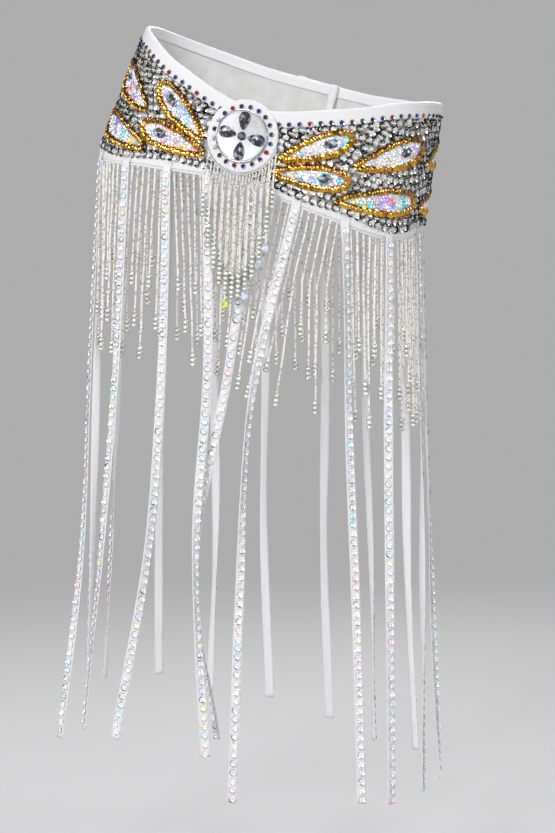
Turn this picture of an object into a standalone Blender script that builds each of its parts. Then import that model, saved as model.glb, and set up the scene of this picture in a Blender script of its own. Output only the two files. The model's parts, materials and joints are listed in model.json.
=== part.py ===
"""A sequin hip belt as it is worn: a stiffened cloth band with a jewelled medallion at the front,
raised leaf outlines, a beaded fringe along the hem and long sequin ribbons.

Metres, +Z up. The front of the belt faces -Y. The belt is held by the hips at the origin, which is the
centre of the ring, HOLD_HEIGHT above the hem line. The ring leans as on a hip pushed to one side, while
the fringe and the ribbons hang straight down.
"""

import math

import bmesh
import bpy
from mathutils import Matrix, Vector

# The hip form that the cloth lies on: one section at the hem line, which narrows towards the waist.
HIP_HALF_WIDTH = 0.1827
HIP_HALF_DEPTH = 0.120
SIDE_FLARE = 0.110
FRONT_FLARE = 0.050
SECTION_POWER = 2.25
HOLD_HEIGHT = 0.060
HIP_TURN = math.radians(-15.9)
HIP_PITCH = math.radians(1.8)
HIP_TILT = math.radians(15.1)

# Cloth and seams.
WALL = 0.0025
TRIM_WALL = 0.0010
SEAM = 0.0003
TOP_BINDING_FRONT = 0.016
TOP_BINDING_INSIDE = 0.010
HEM_BINDING_LEG = 0.009
BAND_STATIONS = 72

# The overlap at centre back, where the outer end lies over the inner end with the fastening between.
BAND_HALF_LENGTH = 0.5155
FASTENING_WALL = 0.003
OVERLAP_STEP = WALL + SEAM + FASTENING_WALL + SEAM
LIFT_START = 0.340
LIFT_END = 0.464
FASTENING_START = 0.476
FASTENING_END = 0.506
FASTENING_FOOT = 0.012
FASTENING_HEAD = 0.019
FASTENING_STATIONS = 4

# Band edges: distance from centre front, height of the hem, height of the top edge.
EDGE_TABLE = (
    (0.0000, 0.0037, 0.0796),
    (0.1000, -0.0054, 0.1029),
    (0.1770, -0.0127, 0.1280),
    (0.2485, 0.0000, 0.1368),
    (0.3600, 0.0040, 0.1310),
    (0.4300, 0.0060, 0.1260),
    (0.5200, 0.0060, 0.1260),
)
HEM, TOP = 1, 2

# Leaf outlines, right half: name, distance, height and tilt of the middle, length and width.
LEAF_TABLE = (
    ("front_upper", 0.082, 0.058, 30.0, 0.082, 0.022),
    ("front_lower", 0.082, 0.027, 8.0, 0.082, 0.022),
    ("side_upper", 0.170, 0.070, 25.0, 0.092, 0.026),
    ("side_lower", 0.164, 0.020, 11.0, 0.100, 0.024),
    ("back_upper", 0.276, 0.084, 14.0, 0.090, 0.026),
    ("back_lower", 0.272, 0.032, 8.0, 0.092, 0.024),
    ("end_upper", 0.379, 0.084, 5.0, 0.080, 0.026),
    ("end_lower", 0.378, 0.036, 3.0, 0.082, 0.024),
)
LEAF_TAPER = 0.40
LEAF_POINTS = 24
ROPE_WIDTH = 0.0050
ROPE_HEIGHT = 0.0036

# Medallion: a padded disc, a dish on it and five cut stones.
MEDALLION_HEIGHT = 0.0495
DISC_RADIUS = 0.039
DISC_WALL = 0.0040
DISC_SEAT = TRIM_WALL + 2 * SEAM
DISH_RADIUS = 0.0285
DISH_WALL = 0.0030
DISH_RIM = 0.0016
TURNED_STEPS = 28
PETAL_LENGTH = 0.018
PETAL_WIDTH = 0.0100
PETAL_MIDDLE = 0.0162
PETAL_TAPER = 0.45
PETAL_SIDES = 10
PETAL_TURNS = (0.0, 96.0, 180.0, 276.0)
STONE_HEIGHT = 0.0036
CENTRE_RADIUS = 0.0048
CENTRE_SIDES = 8
STONE_GIRDLE = 0.0010
STONE_FOOT_SHARE = 0.86
STONE_TABLE_SHARE = 0.48

# Fringe: slots of one pitch run along the hem from centre front. Each holds a strand or a ribbon.
HALF_ROUND = 0.49069
SLOTS_ROUND = 126
PITCH = 2 * HALF_ROUND / SLOTS_ROUND
SIDE_SLOT = 33
OUTER_END_SLOT = 66
INNER_END_SLOT = 60
TAPE_DROP = 0.0025
TAPE_OUT = -0.0002
TAPE_IN = -0.0023
STRAND_HALF = 0.0011
BEAD_HALF = 0.0026
BEAD_RUN = 0.0170
BEAD_SHOULDER = 0.0010
ROOT_RUN = 0.003
BEND_RUN = 0.070
STRAND_STAGGER = 0.012
STRAND_LENGTHS = (0.128, 0.172, 0.206)

# How far a strand drifts sideways for each metre that it falls: distance from centre front, then the
# lean of its first BEND_RUN and the lean below that.
LEAN_TABLE = (
    (-0.500, 0.00, 0.00),
    (-0.250, 0.01, 0.00),
    (-0.190, -0.02, -0.01),
    (-0.155, -0.04, -0.03),
    (-0.110, -0.07, -0.05),
    (-0.082, -0.04, -0.04),
    (-0.066, 0.04, 0.03),
    (-0.035, 0.01, 0.00),
    (0.030, -0.14, -0.12),
    (0.070, -0.24, -0.22),
    (0.086, -0.24, -0.20),
    (0.096, -0.22, -0.04),
    (0.120, -0.17, -0.01),
    (0.134, 0.02, 0.02),
    (0.165, -0.03, 0.01),
    (0.185, 0.02, 0.00),
    (0.230, -0.01, 0.00),
    (0.500, 0.00, 0.00),
)
UPPER_LEAN, LOWER_LEAN = 1, 2

# Medallion fringe: strands round the lower rim, short at the sides and long in the middle.
DROP_STRANDS = 22
DROP_TAPE_IN = DISC_RADIUS + SEAM
DROP_TAPE_OUT = DROP_TAPE_IN + 0.0020
DROP_TAPE_BACK = DISC_SEAT + 0.0006
DROP_TAPE_FRONT = DISC_SEAT + 0.0032
DROP_REACH = 0.0386
DROP_SHORT = 0.052
DROP_LONG = 0.122
DROP_LAYERS = (0.0060, 0.0126)
DROP_LAYER_RUN = 0.024
DROP_FORWARD = 0.07
DROP_LEAN = -0.03
DROP_UNEVEN = 0.008

# Ribbons: flat sequin tapes sewn on the hem binding.
RIBBON_WIDTH = 0.0100
RIBBON_WALL = 0.0010
RIBBON_SEAT = TRIM_WALL + 2 * SEAM
RIBBON_SEWN = 0.007
RIBBON_STATIONS = 16
TWIST_SPREAD = 0.20

# Each ribbon: side (-1 left, 1 right), slot, fall, sway towards +X after a third, two thirds and all
# of the fall, drift towards the front (-Y) at the end, largest twist in degrees and its share down.
RIBBON_TABLE = (
    (-1, 3, 0.612, 0.001, -0.012, -0.001, 0.060, 75.0, 0.72),
    (-1, 9, 0.608, -0.005, -0.020, -0.056, 0.040, 60.0, 0.66),
    (-1, 16, 0.610, -0.010, -0.026, -0.046, 0.042, -35.0, 0.90),
    (-1, 23, 0.637, -0.011, -0.021, -0.046, 0.024, 30.0, 0.85),
    (-1, 30, 0.606, -0.008, -0.014, -0.022, 0.000, -55.0, 0.50),
    (-1, 37, 0.606, -0.010, -0.020, -0.030, -0.016, 60.0, 0.75),
    (-1, 44, 0.600, -0.006, -0.014, -0.016, -0.034, 45.0, 0.45),
    (-1, 51, 0.608, -0.004, -0.002, -0.010, -0.034, -60.0, 0.80),
    (-1, 58, 0.602, 0.003, 0.001, 0.008, -0.036, 50.0, 0.55),
    (1, 3, 0.585, -0.028, -0.062, -0.040, 0.012, -70.0, 0.80),
    (1, 9, 0.632, -0.048, -0.060, -0.068, 0.030, 62.0, 0.42),
    (1, 16, 0.613, 0.004, 0.012, 0.018, 0.030, 45.0, 0.16),
    (1, 23, 0.604, -0.001, 0.001, 0.003, 0.024, -58.0, 0.45),
    (1, 30, 0.606, 0.004, 0.006, 0.008, 0.014, 60.0, 0.60),
    (1, 37, 0.610, 0.006, 0.014, 0.024, -0.008, -50.0, 0.75),
    (1, 44, 0.600, 0.008, 0.012, 0.022, -0.022, 65.0, 0.40),
    (1, 51, 0.612, 0.002, 0.010, 0.014, -0.032, -45.0, 0.85),
    (1, 58, 0.606, 0.004, 0.003, 0.010, -0.036, 55.0, 0.65),
)

ARC_STEPS = 720
ARC_REACH = math.radians(200)
NUDGE = 1e-4

WEAR = (
    Matrix.Rotation(HIP_TILT, 3, "Y")
    @ Matrix.Rotation(HIP_PITCH, 3, "X")
    @ Matrix.Rotation(HIP_TURN, 3, "Z")
)

# Finishes: base colour, roughness, metallic.
FINISHES = {
    "satin": ((0.88, 0.88, 0.90), 0.45, 0.0),
    "sequin_cloth": ((0.55, 0.56, 0.58), 0.30, 0.8),
    "gold_cord": ((0.72, 0.46, 0.12), 0.30, 1.0),
    "crystal": ((0.75, 0.78, 0.82), 0.05, 0.3),
    "dish": ((0.86, 0.86, 0.90), 0.20, 0.2),
    "beads": ((0.78, 0.74, 0.70), 0.25, 0.3),
    "ribbon": ((0.90, 0.88, 0.90), 0.35, 0.1),
    "fastening": ((0.80, 0.80, 0.80), 0.90, 0.0),
}


def clear_scene():
    for obj in list(bpy.data.objects):
        bpy.data.objects.remove(obj)


def finish(name):
    """The material of that name, made on its first use."""
    material = bpy.data.materials.get(name)
    if material is None:
        colour, roughness, metallic = FINISHES[name]
        material = bpy.data.materials.new(name)
        material.use_nodes = True
        shader = material.node_tree.nodes["Principled BSDF"]
        shader.inputs["Base Color"].default_value = (*colour, 1.0)
        shader.inputs["Roughness"].default_value = roughness
        shader.inputs["Metallic"].default_value = metallic
    return material


def add_piece(name, bm, material):
    """Turns a finished bmesh into one named object."""
    bmesh.ops.recalc_face_normals(bm, faces=bm.faces)
    mesh = bpy.data.meshes.new(name)
    bm.to_mesh(mesh)
    bm.free()
    mesh.materials.append(finish(material))
    piece = bpy.data.objects.new(name, mesh)
    bpy.context.scene.collection.objects.link(piece)
    return piece


def eased(share):
    """0 to 1 with flat ends."""
    share = min(1.0, max(0.0, share))
    return share * share * (3 - 2 * share)


def table_value(table, at, column=1):
    """A smooth curve through one column of a table whose first column rises. Its ends are flat."""
    rows = [(row[0], row[column]) for row in table]
    if at <= rows[0][0]:
        return rows[0][1]
    if at >= rows[-1][0]:
        return rows[-1][1]
    slopes = [0.0]
    for before, after in zip(rows, rows[2:]):
        slopes.append((after[1] - before[1]) / (after[0] - before[0]))
    slopes.append(0.0)
    i = max(k for k in range(len(rows) - 1) if rows[k][0] <= at)
    (x0, y0), (x1, y1) = rows[i], rows[i + 1]
    span = x1 - x0
    s = (at - x0) / span
    rise = eased(s)
    lead = s * (1 - s) * (1 - s) * span * slopes[i]
    tail = s * s * (s - 1) * span * slopes[i + 1]
    return y0 + (y1 - y0) * rise + lead + tail


def signed_power(value, power):
    return math.copysign(abs(value) ** power, value)


def section_point(angle, height):
    """A point of the hip form. Angle 0 is centre front, and it grows towards +X."""
    across = signed_power(math.sin(angle), 2 / SECTION_POWER)
    ahead = signed_power(math.cos(angle), 2 / SECTION_POWER)
    half_width = HIP_HALF_WIDTH - SIDE_FLARE * height
    half_depth = HIP_HALF_DEPTH - FRONT_FLARE * height
    return Vector((half_width * across, -half_depth * ahead, height))


def section_normal(angle, height):
    """The direction straight out of the cloth."""
    along = section_point(angle + NUDGE, height) - section_point(angle - NUDGE, height)
    up = section_point(angle, height + NUDGE) - section_point(angle, height - NUDGE)
    return along.cross(up).normalized()


def arc_table():
    """Pairs of hem distance and angle, from well left of centre back to well right of it."""
    angles = [ARC_REACH * (2 * i / ARC_STEPS - 1) for i in range(ARC_STEPS + 1)]
    points = [section_point(angle, 0.0) for angle in angles]
    distances = [0.0]
    for before, after in zip(points, points[1:]):
        distances.append(distances[-1] + (after - before).length)
    middle = distances[ARC_STEPS // 2]
    return [(distance - middle, angle) for distance, angle in zip(distances, angles)]


ARC = arc_table()


def angle_at(distance):
    """The angle of a point that lies this far along the hem line from centre front."""
    low, high = 0, len(ARC) - 1
    while high - low > 1:
        middle = (low + high) // 2
        if ARC[middle][0] <= distance:
            low = middle
        else:
            high = middle
    (d0, a0), (d1, a1) = ARC[low], ARC[high]
    return a0 + (a1 - a0) * (distance - d0) / (d1 - d0)


def cloth(distance, height, out=0.0):
    """A point on the band's outer face, or moved straight out of it, in the worn pose."""
    angle = angle_at(distance)
    lift = OVERLAP_STEP * eased((distance - LIFT_START) / (LIFT_END - LIFT_START))
    point = section_point(angle, height) + section_normal(angle, height) * (out + lift)
    return WEAR @ (point - Vector((0.0, 0.0, HOLD_HEIGHT)))


def hem_at(distance):
    return table_value(EDGE_TABLE, abs(distance), HEM)


def top_at(distance):
    return table_value(EDGE_TABLE, abs(distance), TOP)


def outward(distance):
    """The level direction that points away from the wearer at that place."""
    normal = WEAR @ section_normal(angle_at(distance), 0.0)
    normal.z = 0.0
    return normal.normalized()


def along(distance):
    """The direction of the hem there, in the worn pose."""
    return (cloth(distance + NUDGE, 0.0) - cloth(distance - NUDGE, 0.0)).normalized()


def loft(name, sections, material, closed=False, turned_edges=()):
    """One solid through equal sections. Both faces of a thin wall are split along the same
    diagonal: turned_edges names the section edges on the wall's second face."""
    bm = bmesh.new()
    rings = [[bm.verts.new(point) for point in section] for section in sections]
    pairs = list(zip(rings, rings[1:]))
    if closed:
        pairs.append((rings[-1], rings[0]))
    count = len(rings[0])
    for ring, after in pairs:
        for i in range(count):
            j = (i + 1) % count
            quad = [ring[i], ring[j], after[j], after[i]]
            if i in turned_edges:
                quad = quad[1:] + quad[:1]
            bm.faces.new((quad[0], quad[1], quad[2]))
            bm.faces.new((quad[0], quad[2], quad[3]))
    if not closed:
        bm.faces.new(list(reversed(rings[0])))
        bm.faces.new(rings[-1])
    return add_piece(name, bm, material)


def stations(start, end, count):
    return [start + (end - start) * i / count for i in range(count + 1)]


def make_band():
    """The stiffened cloth: one wall from end to end, open at centre back."""
    sections = []
    for distance in stations(-BAND_HALF_LENGTH, BAND_HALF_LENGTH, BAND_STATIONS):
        hem, top = hem_at(distance), top_at(distance)
        middle = (hem + top) / 2
        corners = (
            (hem, 0.0),
            (middle, 0.0),
            (top, 0.0),
            (top, -WALL),
            (middle, -WALL),
            (hem, -WALL),
        )
        sections.append([cloth(distance, height, out) for height, out in corners])
    loft("belt_band", sections, "sequin_cloth", turned_edges=(3, 4))


def make_binding(name, edge_at, direction, front_leg, inside_leg):
    """A strip folded over an edge of the band. direction is 1 at the top edge and -1 at the hem."""
    sections = []
    for distance in stations(-BAND_HALF_LENGTH, BAND_HALF_LENGTH, BAND_STATIONS):
        edge = edge_at(distance)
        near, far = SEAM, SEAM + TRIM_WALL
        corners = (
            (-front_leg, far),
            (far, far),
            (far, -WALL - far),
            (-inside_leg, -WALL - far),
            (-inside_leg, -WALL - near),
            (near, -WALL - near),
            (near, near),
            (-front_leg, near),
        )
        sections.append([cloth(distance, edge + direction * rise, out) for rise, out in corners])
    loft(name, sections, "satin")


def make_fastening():
    """The hook-and-loop tape between the two ends."""
    sections = []
    for distance in stations(FASTENING_START, FASTENING_END, FASTENING_STATIONS):
        foot = hem_at(distance) + FASTENING_FOOT
        head = top_at(distance) - FASTENING_HEAD
        near = -WALL - SEAM
        far = near - FASTENING_WALL
        corners = ((foot, near), (head, near), (head, far), (foot, far))
        sections.append([cloth(distance, height, out) for height, out in corners])
    loft("closure_tape", sections, "fastening")


def egg(turn, length, width, taper):
    """A point of a leaf's outline and its outward direction, with the narrow end towards -X."""
    x = -length / 2 * math.cos(turn)
    y = width / 2 * math.sin(turn) * (1 - taper * math.cos(turn))
    run = length / 2 * math.sin(turn)
    rise = width / 2 * (math.cos(turn) - taper * math.cos(2 * turn))
    size = math.hypot(run, rise)
    return x, y, -rise / size, run / size


def make_leaf(label, side, distance, height, tilt, length, width):
    """A raised cord sewn to the band along a leaf's outline."""
    cosine, sine = math.cos(math.radians(tilt)), math.sin(math.radians(tilt))
    ridge = (
        (-ROPE_WIDTH / 2, SEAM),
        (ROPE_WIDTH / 2, SEAM),
        (0.0, SEAM + ROPE_HEIGHT),
    )
    sections = []
    for i in range(LEAF_POINTS):
        x, y, step_x, step_y = egg(2 * math.pi * i / LEAF_POINTS, length, width, LEAF_TAPER)
        section = []
        for aside, out in ridge:
            leaf_x = x + step_x * aside
            leaf_y = y + step_y * aside
            away = distance + leaf_x * cosine - leaf_y * sine
            rise = height + leaf_x * sine + leaf_y * cosine
            section.append(cloth(side * away, rise, out))
        sections.append(section)
    loft(f"leaf_{label}", sections, "gold_cord", closed=True)


def medallion_frame():
    """Places local X along the belt, Y up the band and Z straight out of it, at the disc's back."""
    middle = cloth(0.0, MEDALLION_HEIGHT, DISC_SEAT)
    across = along(0.0)
    out = (WEAR @ section_normal(0.0, MEDALLION_HEIGHT)).normalized()
    up = out.cross(across).normalized()
    axes = Matrix((across, up, out)).transposed().to_4x4()
    return Matrix.Translation(middle) @ axes


def turned(name, profile, material, place):
    """A round piece spun from a profile of radius and height."""
    bm = bmesh.new()
    verts = [bm.verts.new((radius, 0.0, height)) for radius, height in profile]
    edges = [bm.edges.new(pair) for pair in zip(verts, verts[1:])]
    bmesh.ops.spin(
        bm,
        geom=verts + edges,
        axis=(0, 0, 1),
        cent=(0, 0, 0),
        angle=2 * math.pi,
        steps=TURNED_STEPS,
        use_merge=True,
    )
    bmesh.ops.remove_doubles(bm, verts=bm.verts, dist=NUDGE / 10)
    bmesh.ops.transform(bm, matrix=place, verts=bm.verts)
    return add_piece(name, bm, material)


def make_medallion_disc(place):
    """The padded, cloth-covered disc."""
    edge = DISC_WALL / 4
    profile = (
        (0.0, 0.0),
        (DISC_RADIUS - edge, 0.0),
        (DISC_RADIUS, edge),
        (DISC_RADIUS, DISC_WALL - edge),
        (DISC_RADIUS - edge, DISC_WALL),
        (0.0, DISC_WALL),
    )
    turned("medallion_pad", profile, "satin", place)


def make_dish(place):
    """The round dish with a thin raised rim."""
    foot = DISC_WALL + SEAM
    floor = foot + DISH_WALL - DISH_RIM / 2
    profile = (
        (0.0, foot),
        (DISH_RADIUS, foot),
        (DISH_RADIUS, foot + DISH_WALL),
        (DISH_RADIUS - DISH_RIM, foot + DISH_WALL),
        (DISH_RADIUS - DISH_RIM, floor),
        (0.0, floor),
    )
    turned("medallion_dish", profile, "dish", place)
    return floor + SEAM


def make_stone(name, outline, foot, place):
    """A cut stone: a foot, a girdle and a flat table over one outline."""
    levels = (
        (foot, STONE_FOOT_SHARE),
        (foot + STONE_GIRDLE, 1.0),
        (foot + STONE_HEIGHT, STONE_TABLE_SHARE),
    )
    middle_x = sum(x for x, _ in outline) / len(outline)
    middle_y = sum(y for _, y in outline) / len(outline)
    sections = []
    for height, share in levels:
        ring = []
        for x, y in outline:
            spot = (middle_x + (x - middle_x) * share, middle_y + (y - middle_y) * share, height)
            ring.append(place @ Vector(spot))
        sections.append(ring)
    loft(name, sections, "crystal")


def make_stones(foot, place):
    """Four pear-shaped petals round a small round stone."""
    for degrees, side in zip(PETAL_TURNS, ("right", "top", "left", "bottom")):
        turn = Matrix.Rotation(math.radians(degrees), 2)
        outline = []
        for i in range(PETAL_SIDES):
            x, y, _, _ = egg(2 * math.pi * i / PETAL_SIDES, PETAL_LENGTH, PETAL_WIDTH, PETAL_TAPER)
            outline.append(tuple(turn @ Vector((PETAL_MIDDLE + x, y))))
        make_stone(f"petal_stone_{side}", outline, foot, place)
    circle = []
    for i in range(CENTRE_SIDES):
        angle = 2 * math.pi * (i + 0.5) / CENTRE_SIDES
        circle.append((CENTRE_RADIUS * math.cos(angle), CENTRE_RADIUS * math.sin(angle)))
    make_stone("centre_stone", circle, foot, place)


def grow_strand(bm, face, stops, across, out):
    """Extrudes one face of a tape into a four-sided strand through stops of point and half width."""
    for point, half in stops:
        face = bmesh.ops.extrude_discrete_faces(bm, faces=[face])["faces"][0]
        centre = face.calc_center_median()
        for vert in face.verts:
            offset = vert.co - centre
            sideways = math.copysign(half, offset.dot(across))
            outwards = math.copysign(half, offset.dot(out))
            vert.co = point + across * sideways + out * outwards


def strand_stops(face, fall, length):
    """Root, thin run and swelling beads. fall gives how far a point has moved after a drop."""
    root = face.calc_center_median()
    slope = max(root.z - vert.co.z for vert in face.verts)
    drops = (
        (ROOT_RUN + slope, STRAND_HALF),
        (min(BEND_RUN, length / 2), STRAND_HALF),
        (length - BEAD_RUN - BEAD_SHOULDER, STRAND_HALF),
        (length - BEAD_RUN, BEAD_HALF),
        (length, BEAD_HALF),
    )
    return [(root + fall(drop), half) for drop, half in drops]


def tape_with_cells(bm, rings, root_edge):
    """A four-sided tape through rings. Returns the faces between corner root_edge and the next."""
    roots = []
    for ring, after in zip(rings, rings[1:]):
        for i in range(4):
            j = (i + 1) % 4
            face = bm.faces.new((ring[i], ring[j], after[j], after[i]))
            if i == root_edge:
                roots.append(face)
    bm.faces.new(list(reversed(rings[0])))
    bm.faces.new(rings[-1])
    bmesh.ops.recalc_face_normals(bm, faces=bm.faces)
    return roots


def holds_ribbon(side, slot):
    return any((row[0], row[1]) == (side, slot) for row in RIBBON_TABLE)


def make_hem_fringe(name, side, first, last):
    """A narrow tape just under the hem binding, with a beaded strand from each slot."""
    bm = bmesh.new()
    head = -SEAM - TRIM_WALL - SEAM
    foot = head - TAPE_DROP
    ends = [slot * PITCH for slot in range(first, last + 1)]
    ends[0] += SEAM / 2
    ends[-1] -= SEAM / 2
    rings = []
    for end in ends:
        hem = hem_at(end)
        corners = ((head, TAPE_OUT), (foot, TAPE_OUT), (foot, TAPE_IN), (head, TAPE_IN))
        ring = [bm.verts.new(cloth(side * end, hem + rise, out)) for rise, out in corners]
        rings.append(ring)
    roots = tape_with_cells(bm, rings, root_edge=1)
    for slot, face in zip(range(first, last), roots):
        if holds_ribbon(side, slot):
            continue
        distance = side * (slot + 0.5) * PITCH
        upper = table_value(LEAN_TABLE, distance, UPPER_LEAN)
        lower = table_value(LEAN_TABLE, distance, LOWER_LEAN)
        out = outward(distance)
        across = Vector((-out.y, out.x, 0.0))
        place_in_cycle = (slot if side > 0 else -slot - 1) % len(STRAND_LENGTHS)
        length = STRAND_LENGTHS[place_in_cycle]

        def fall(drop):
            aside = upper * min(drop, BEND_RUN) + lower * max(0.0, drop - BEND_RUN)
            return Vector((aside, 0.0, -drop)) + out * STRAND_STAGGER * (slot % 2) * drop

        grow_strand(bm, face, strand_stops(face, fall, length), across, out)
    add_piece(name, bm, "beads")


def make_medallion_fringe(place):
    """Strands from a tape round the disc's lower rim."""
    bm = bmesh.new()
    out = outward(0.0)
    across = Vector((-out.y, out.x, 0.0))
    reach = [DROP_REACH * (1 - 2 * i / DROP_STRANDS) for i in range(DROP_STRANDS + 1)]
    rings = []
    for x in reach:
        angle = HIP_TILT - math.acos(x / DROP_TAPE_OUT)
        corners = (
            (DROP_TAPE_OUT, DROP_TAPE_FRONT),
            (DROP_TAPE_OUT, DROP_TAPE_BACK),
            (DROP_TAPE_IN, DROP_TAPE_BACK),
            (DROP_TAPE_IN, DROP_TAPE_FRONT),
        )
        ring = []
        for radius, height in corners:
            spot = Vector((radius * math.cos(angle), radius * math.sin(angle), height - DISC_SEAT))
            ring.append(bm.verts.new(place @ spot))
        rings.append(ring)
    roots = tape_with_cells(bm, rings, root_edge=0)
    for i, face in enumerate(roots):
        share = abs(2 * (i + 0.5) / DROP_STRANDS - 1)
        length = DROP_LONG - (DROP_LONG - DROP_SHORT) * share**2 + DROP_UNEVEN * (i % 2)
        clear = DROP_LAYERS[i % 2]

        def fall(drop):
            ahead = clear * eased(drop / DROP_LAYER_RUN) + DROP_FORWARD * drop
            return out * ahead + Vector((DROP_LEAN * drop, 0.0, -drop))

        grow_strand(bm, face, strand_stops(face, fall, length), across, out)
    add_piece("medallion_fringe", bm, "beads")


def sway_at(share, third, two_thirds, whole):
    """A smooth sideways drift through its values at a third, two thirds and all of the fall."""
    rows = (
        (-1 / 3, -third),
        (0.0, 0.0),
        (1 / 3, third),
        (2 / 3, two_thirds),
        (1.0, whole),
        (4 / 3, 2 * whole - two_thirds),
    )
    return table_value(rows, share)


def ribbon_path(distance, fall, sways, ahead):
    """Points down the middle of a ribbon: two on the hem binding, then the free fall."""
    hem = hem_at(distance)
    middle = RIBBON_SEAT + RIBBON_WALL / 2
    path = [cloth(distance, hem + RIBBON_SEWN, middle), cloth(distance, hem - WALL, middle)]
    root = path[-1]
    for i in range(1, RIBBON_STATIONS + 1):
        share = i / RIBBON_STATIONS
        path.append(root + Vector((sway_at(share, *sways), -ahead * share, -fall * share)))
    return path


def make_ribbon(side, slot, fall, third, two_thirds, whole, ahead, twist, twist_share):
    """One flat tape. It lies on the binding, then falls free and turns about its own length."""
    distance = side * (slot + 0.5) * PITCH
    path = ribbon_path(distance, fall, (third, two_thirds, whole), ahead)
    across = along(distance)
    sections = []
    for i, point in enumerate(path):
        heading = (path[min(i + 1, len(path) - 1)] - path[max(i - 1, 0)]).normalized()
        share = (i - 1) / RIBBON_STATIONS
        turn = math.radians(twist) * math.exp(-(((share - twist_share) / TWIST_SPREAD) ** 2))
        if i < 2:
            turn = 0.0
        flat = (across - heading * across.dot(heading)).normalized()
        face = flat.cross(heading)
        width = flat * math.cos(turn) + face * math.sin(turn)
        depth = width.cross(heading)
        half_width, half_wall = RIBBON_WIDTH / 2, RIBBON_WALL / 2
        signs = ((-1, 1), (1, 1), (1, -1), (-1, -1))
        sections.append([point + width * half_width * a + depth * half_wall * b for a, b in signs])
    label = {-1: "left", 1: "right"}[side]
    number = sum(1 for row in RIBBON_TABLE if row[0] == side and row[1] <= slot)
    loft(f"ribbon_{label}_{number}", sections, "ribbon", turned_edges=(2,))


def build():
    clear_scene()
    make_band()
    make_binding("top_binding", top_at, 1, TOP_BINDING_FRONT, TOP_BINDING_INSIDE)
    make_binding("hem_binding", hem_at, -1, HEM_BINDING_LEG, HEM_BINDING_LEG)
    make_fastening()
    for name, distance, height, tilt, length, width in LEAF_TABLE:
        for side, label in ((-1, "left"), (1, "right")):
            make_leaf(f"{label}_{name}", side, distance, height, tilt, length, width)
    place = medallion_frame()
    make_medallion_disc(place)
    stone_foot = make_dish(place)
    make_stones(stone_foot, place)
    make_hem_fringe("hem_fringe_right_front", 1, 0, SIDE_SLOT)
    make_hem_fringe("hem_fringe_right_back", 1, SIDE_SLOT, OUTER_END_SLOT)
    make_hem_fringe("hem_fringe_left_front", -1, 0, SIDE_SLOT)
    make_hem_fringe("hem_fringe_left_back", -1, SIDE_SLOT, INNER_END_SLOT)
    make_medallion_fringe(place)
    for row in RIBBON_TABLE:
        make_ribbon(*row)


build()
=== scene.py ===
# %% [markdown]
# # A sequin hip belt
#
# The belt is a stiffened cloth band, 981 mm round the hips, covered with silver cup sequins. Gold
# sequin cords draw pairs of leaves on it, a padded satin medallion sits at the front, and beaded
# strings and long sequin ribbons hang from the hem. Each step below makes one of these, the way it
# is made at the sewing table: the big cloth first, then what is sewn on it.

# %% The frame of solids
import json
import math
import random

import bmesh
import bpy
from mathutils import Matrix, Quaternion, Vector

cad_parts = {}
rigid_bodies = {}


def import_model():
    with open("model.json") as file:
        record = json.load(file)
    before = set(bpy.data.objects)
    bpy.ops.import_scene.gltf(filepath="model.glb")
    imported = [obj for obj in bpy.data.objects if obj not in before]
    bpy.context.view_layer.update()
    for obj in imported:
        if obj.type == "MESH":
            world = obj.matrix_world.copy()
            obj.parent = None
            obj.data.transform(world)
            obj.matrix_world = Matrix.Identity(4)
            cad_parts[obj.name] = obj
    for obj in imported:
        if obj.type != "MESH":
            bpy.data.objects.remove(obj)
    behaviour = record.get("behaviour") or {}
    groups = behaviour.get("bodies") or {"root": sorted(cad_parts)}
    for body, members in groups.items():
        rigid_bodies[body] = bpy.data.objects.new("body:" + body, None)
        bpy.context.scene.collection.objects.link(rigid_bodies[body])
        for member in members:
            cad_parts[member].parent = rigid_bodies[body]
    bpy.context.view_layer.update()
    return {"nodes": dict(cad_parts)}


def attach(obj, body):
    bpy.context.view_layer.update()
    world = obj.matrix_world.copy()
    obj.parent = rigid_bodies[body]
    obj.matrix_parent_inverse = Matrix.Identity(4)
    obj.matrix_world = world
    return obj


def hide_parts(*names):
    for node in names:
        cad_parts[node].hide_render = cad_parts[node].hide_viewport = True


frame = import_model()

# %% [markdown]
# ## The camera
#
# The picture was taken from in front, about hip height, with a long lens. A camera 3.2 m away sees
# the belt at 909 pixels to the metre. It could be framed by shifting the lens, but tilting the
# camera down a little is what a photographer does, and other views stay natural.

# %% Camera
PICTURE_SIZE = (555, 833)
SENSOR = 36.0
CAMERA_DISTANCE = 3.2
PIXELS_PER_METRE = 909.0
CAMERA_DOWN, CAMERA_ASIDE = math.radians(4.515), math.radians(-0.31)
HIP_TILT, HIP_PITCH, HIP_TURN = (math.radians(angle) for angle in (15.1, 1.8, -15.9))
HOLD_HEIGHT = 0.060
WEAR = (
    Matrix.Rotation(HIP_TILT, 3, "Y")
    @ Matrix.Rotation(HIP_PITCH, 3, "X")
    @ Matrix.Rotation(HIP_TURN, 3, "Z")
)
hem_centre = WEAR @ Vector((0.0, 0.0, -HOLD_HEIGHT))

lens = bpy.data.cameras.new("camera")
lens.sensor_width = SENSOR
lens.lens = PIXELS_PER_METRE * CAMERA_DISTANCE * SENSOR / max(PICTURE_SIZE)
camera = bpy.data.objects.new("camera", lens)
camera.location = hem_centre + Vector((0.0, -CAMERA_DISTANCE, 0.0))
camera.rotation_euler = (math.pi / 2 - CAMERA_DOWN, 0.0, CAMERA_ASIDE)
bpy.context.scene.collection.objects.link(camera)
bpy.context.scene.camera = camera
print("lens", round(lens.lens, 1), "mm")

# %% [markdown]
# ## The hip form
#
# Every piece of the belt lies on one surface: a rounded oval that narrows towards the waist. A
# superellipse gives that oval with one number for how square it is. A point of the cloth is then
# named the way a pattern cutter names it: how far along the hem from centre front, how high above
# the hem line, and how far out from the cloth.

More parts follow.
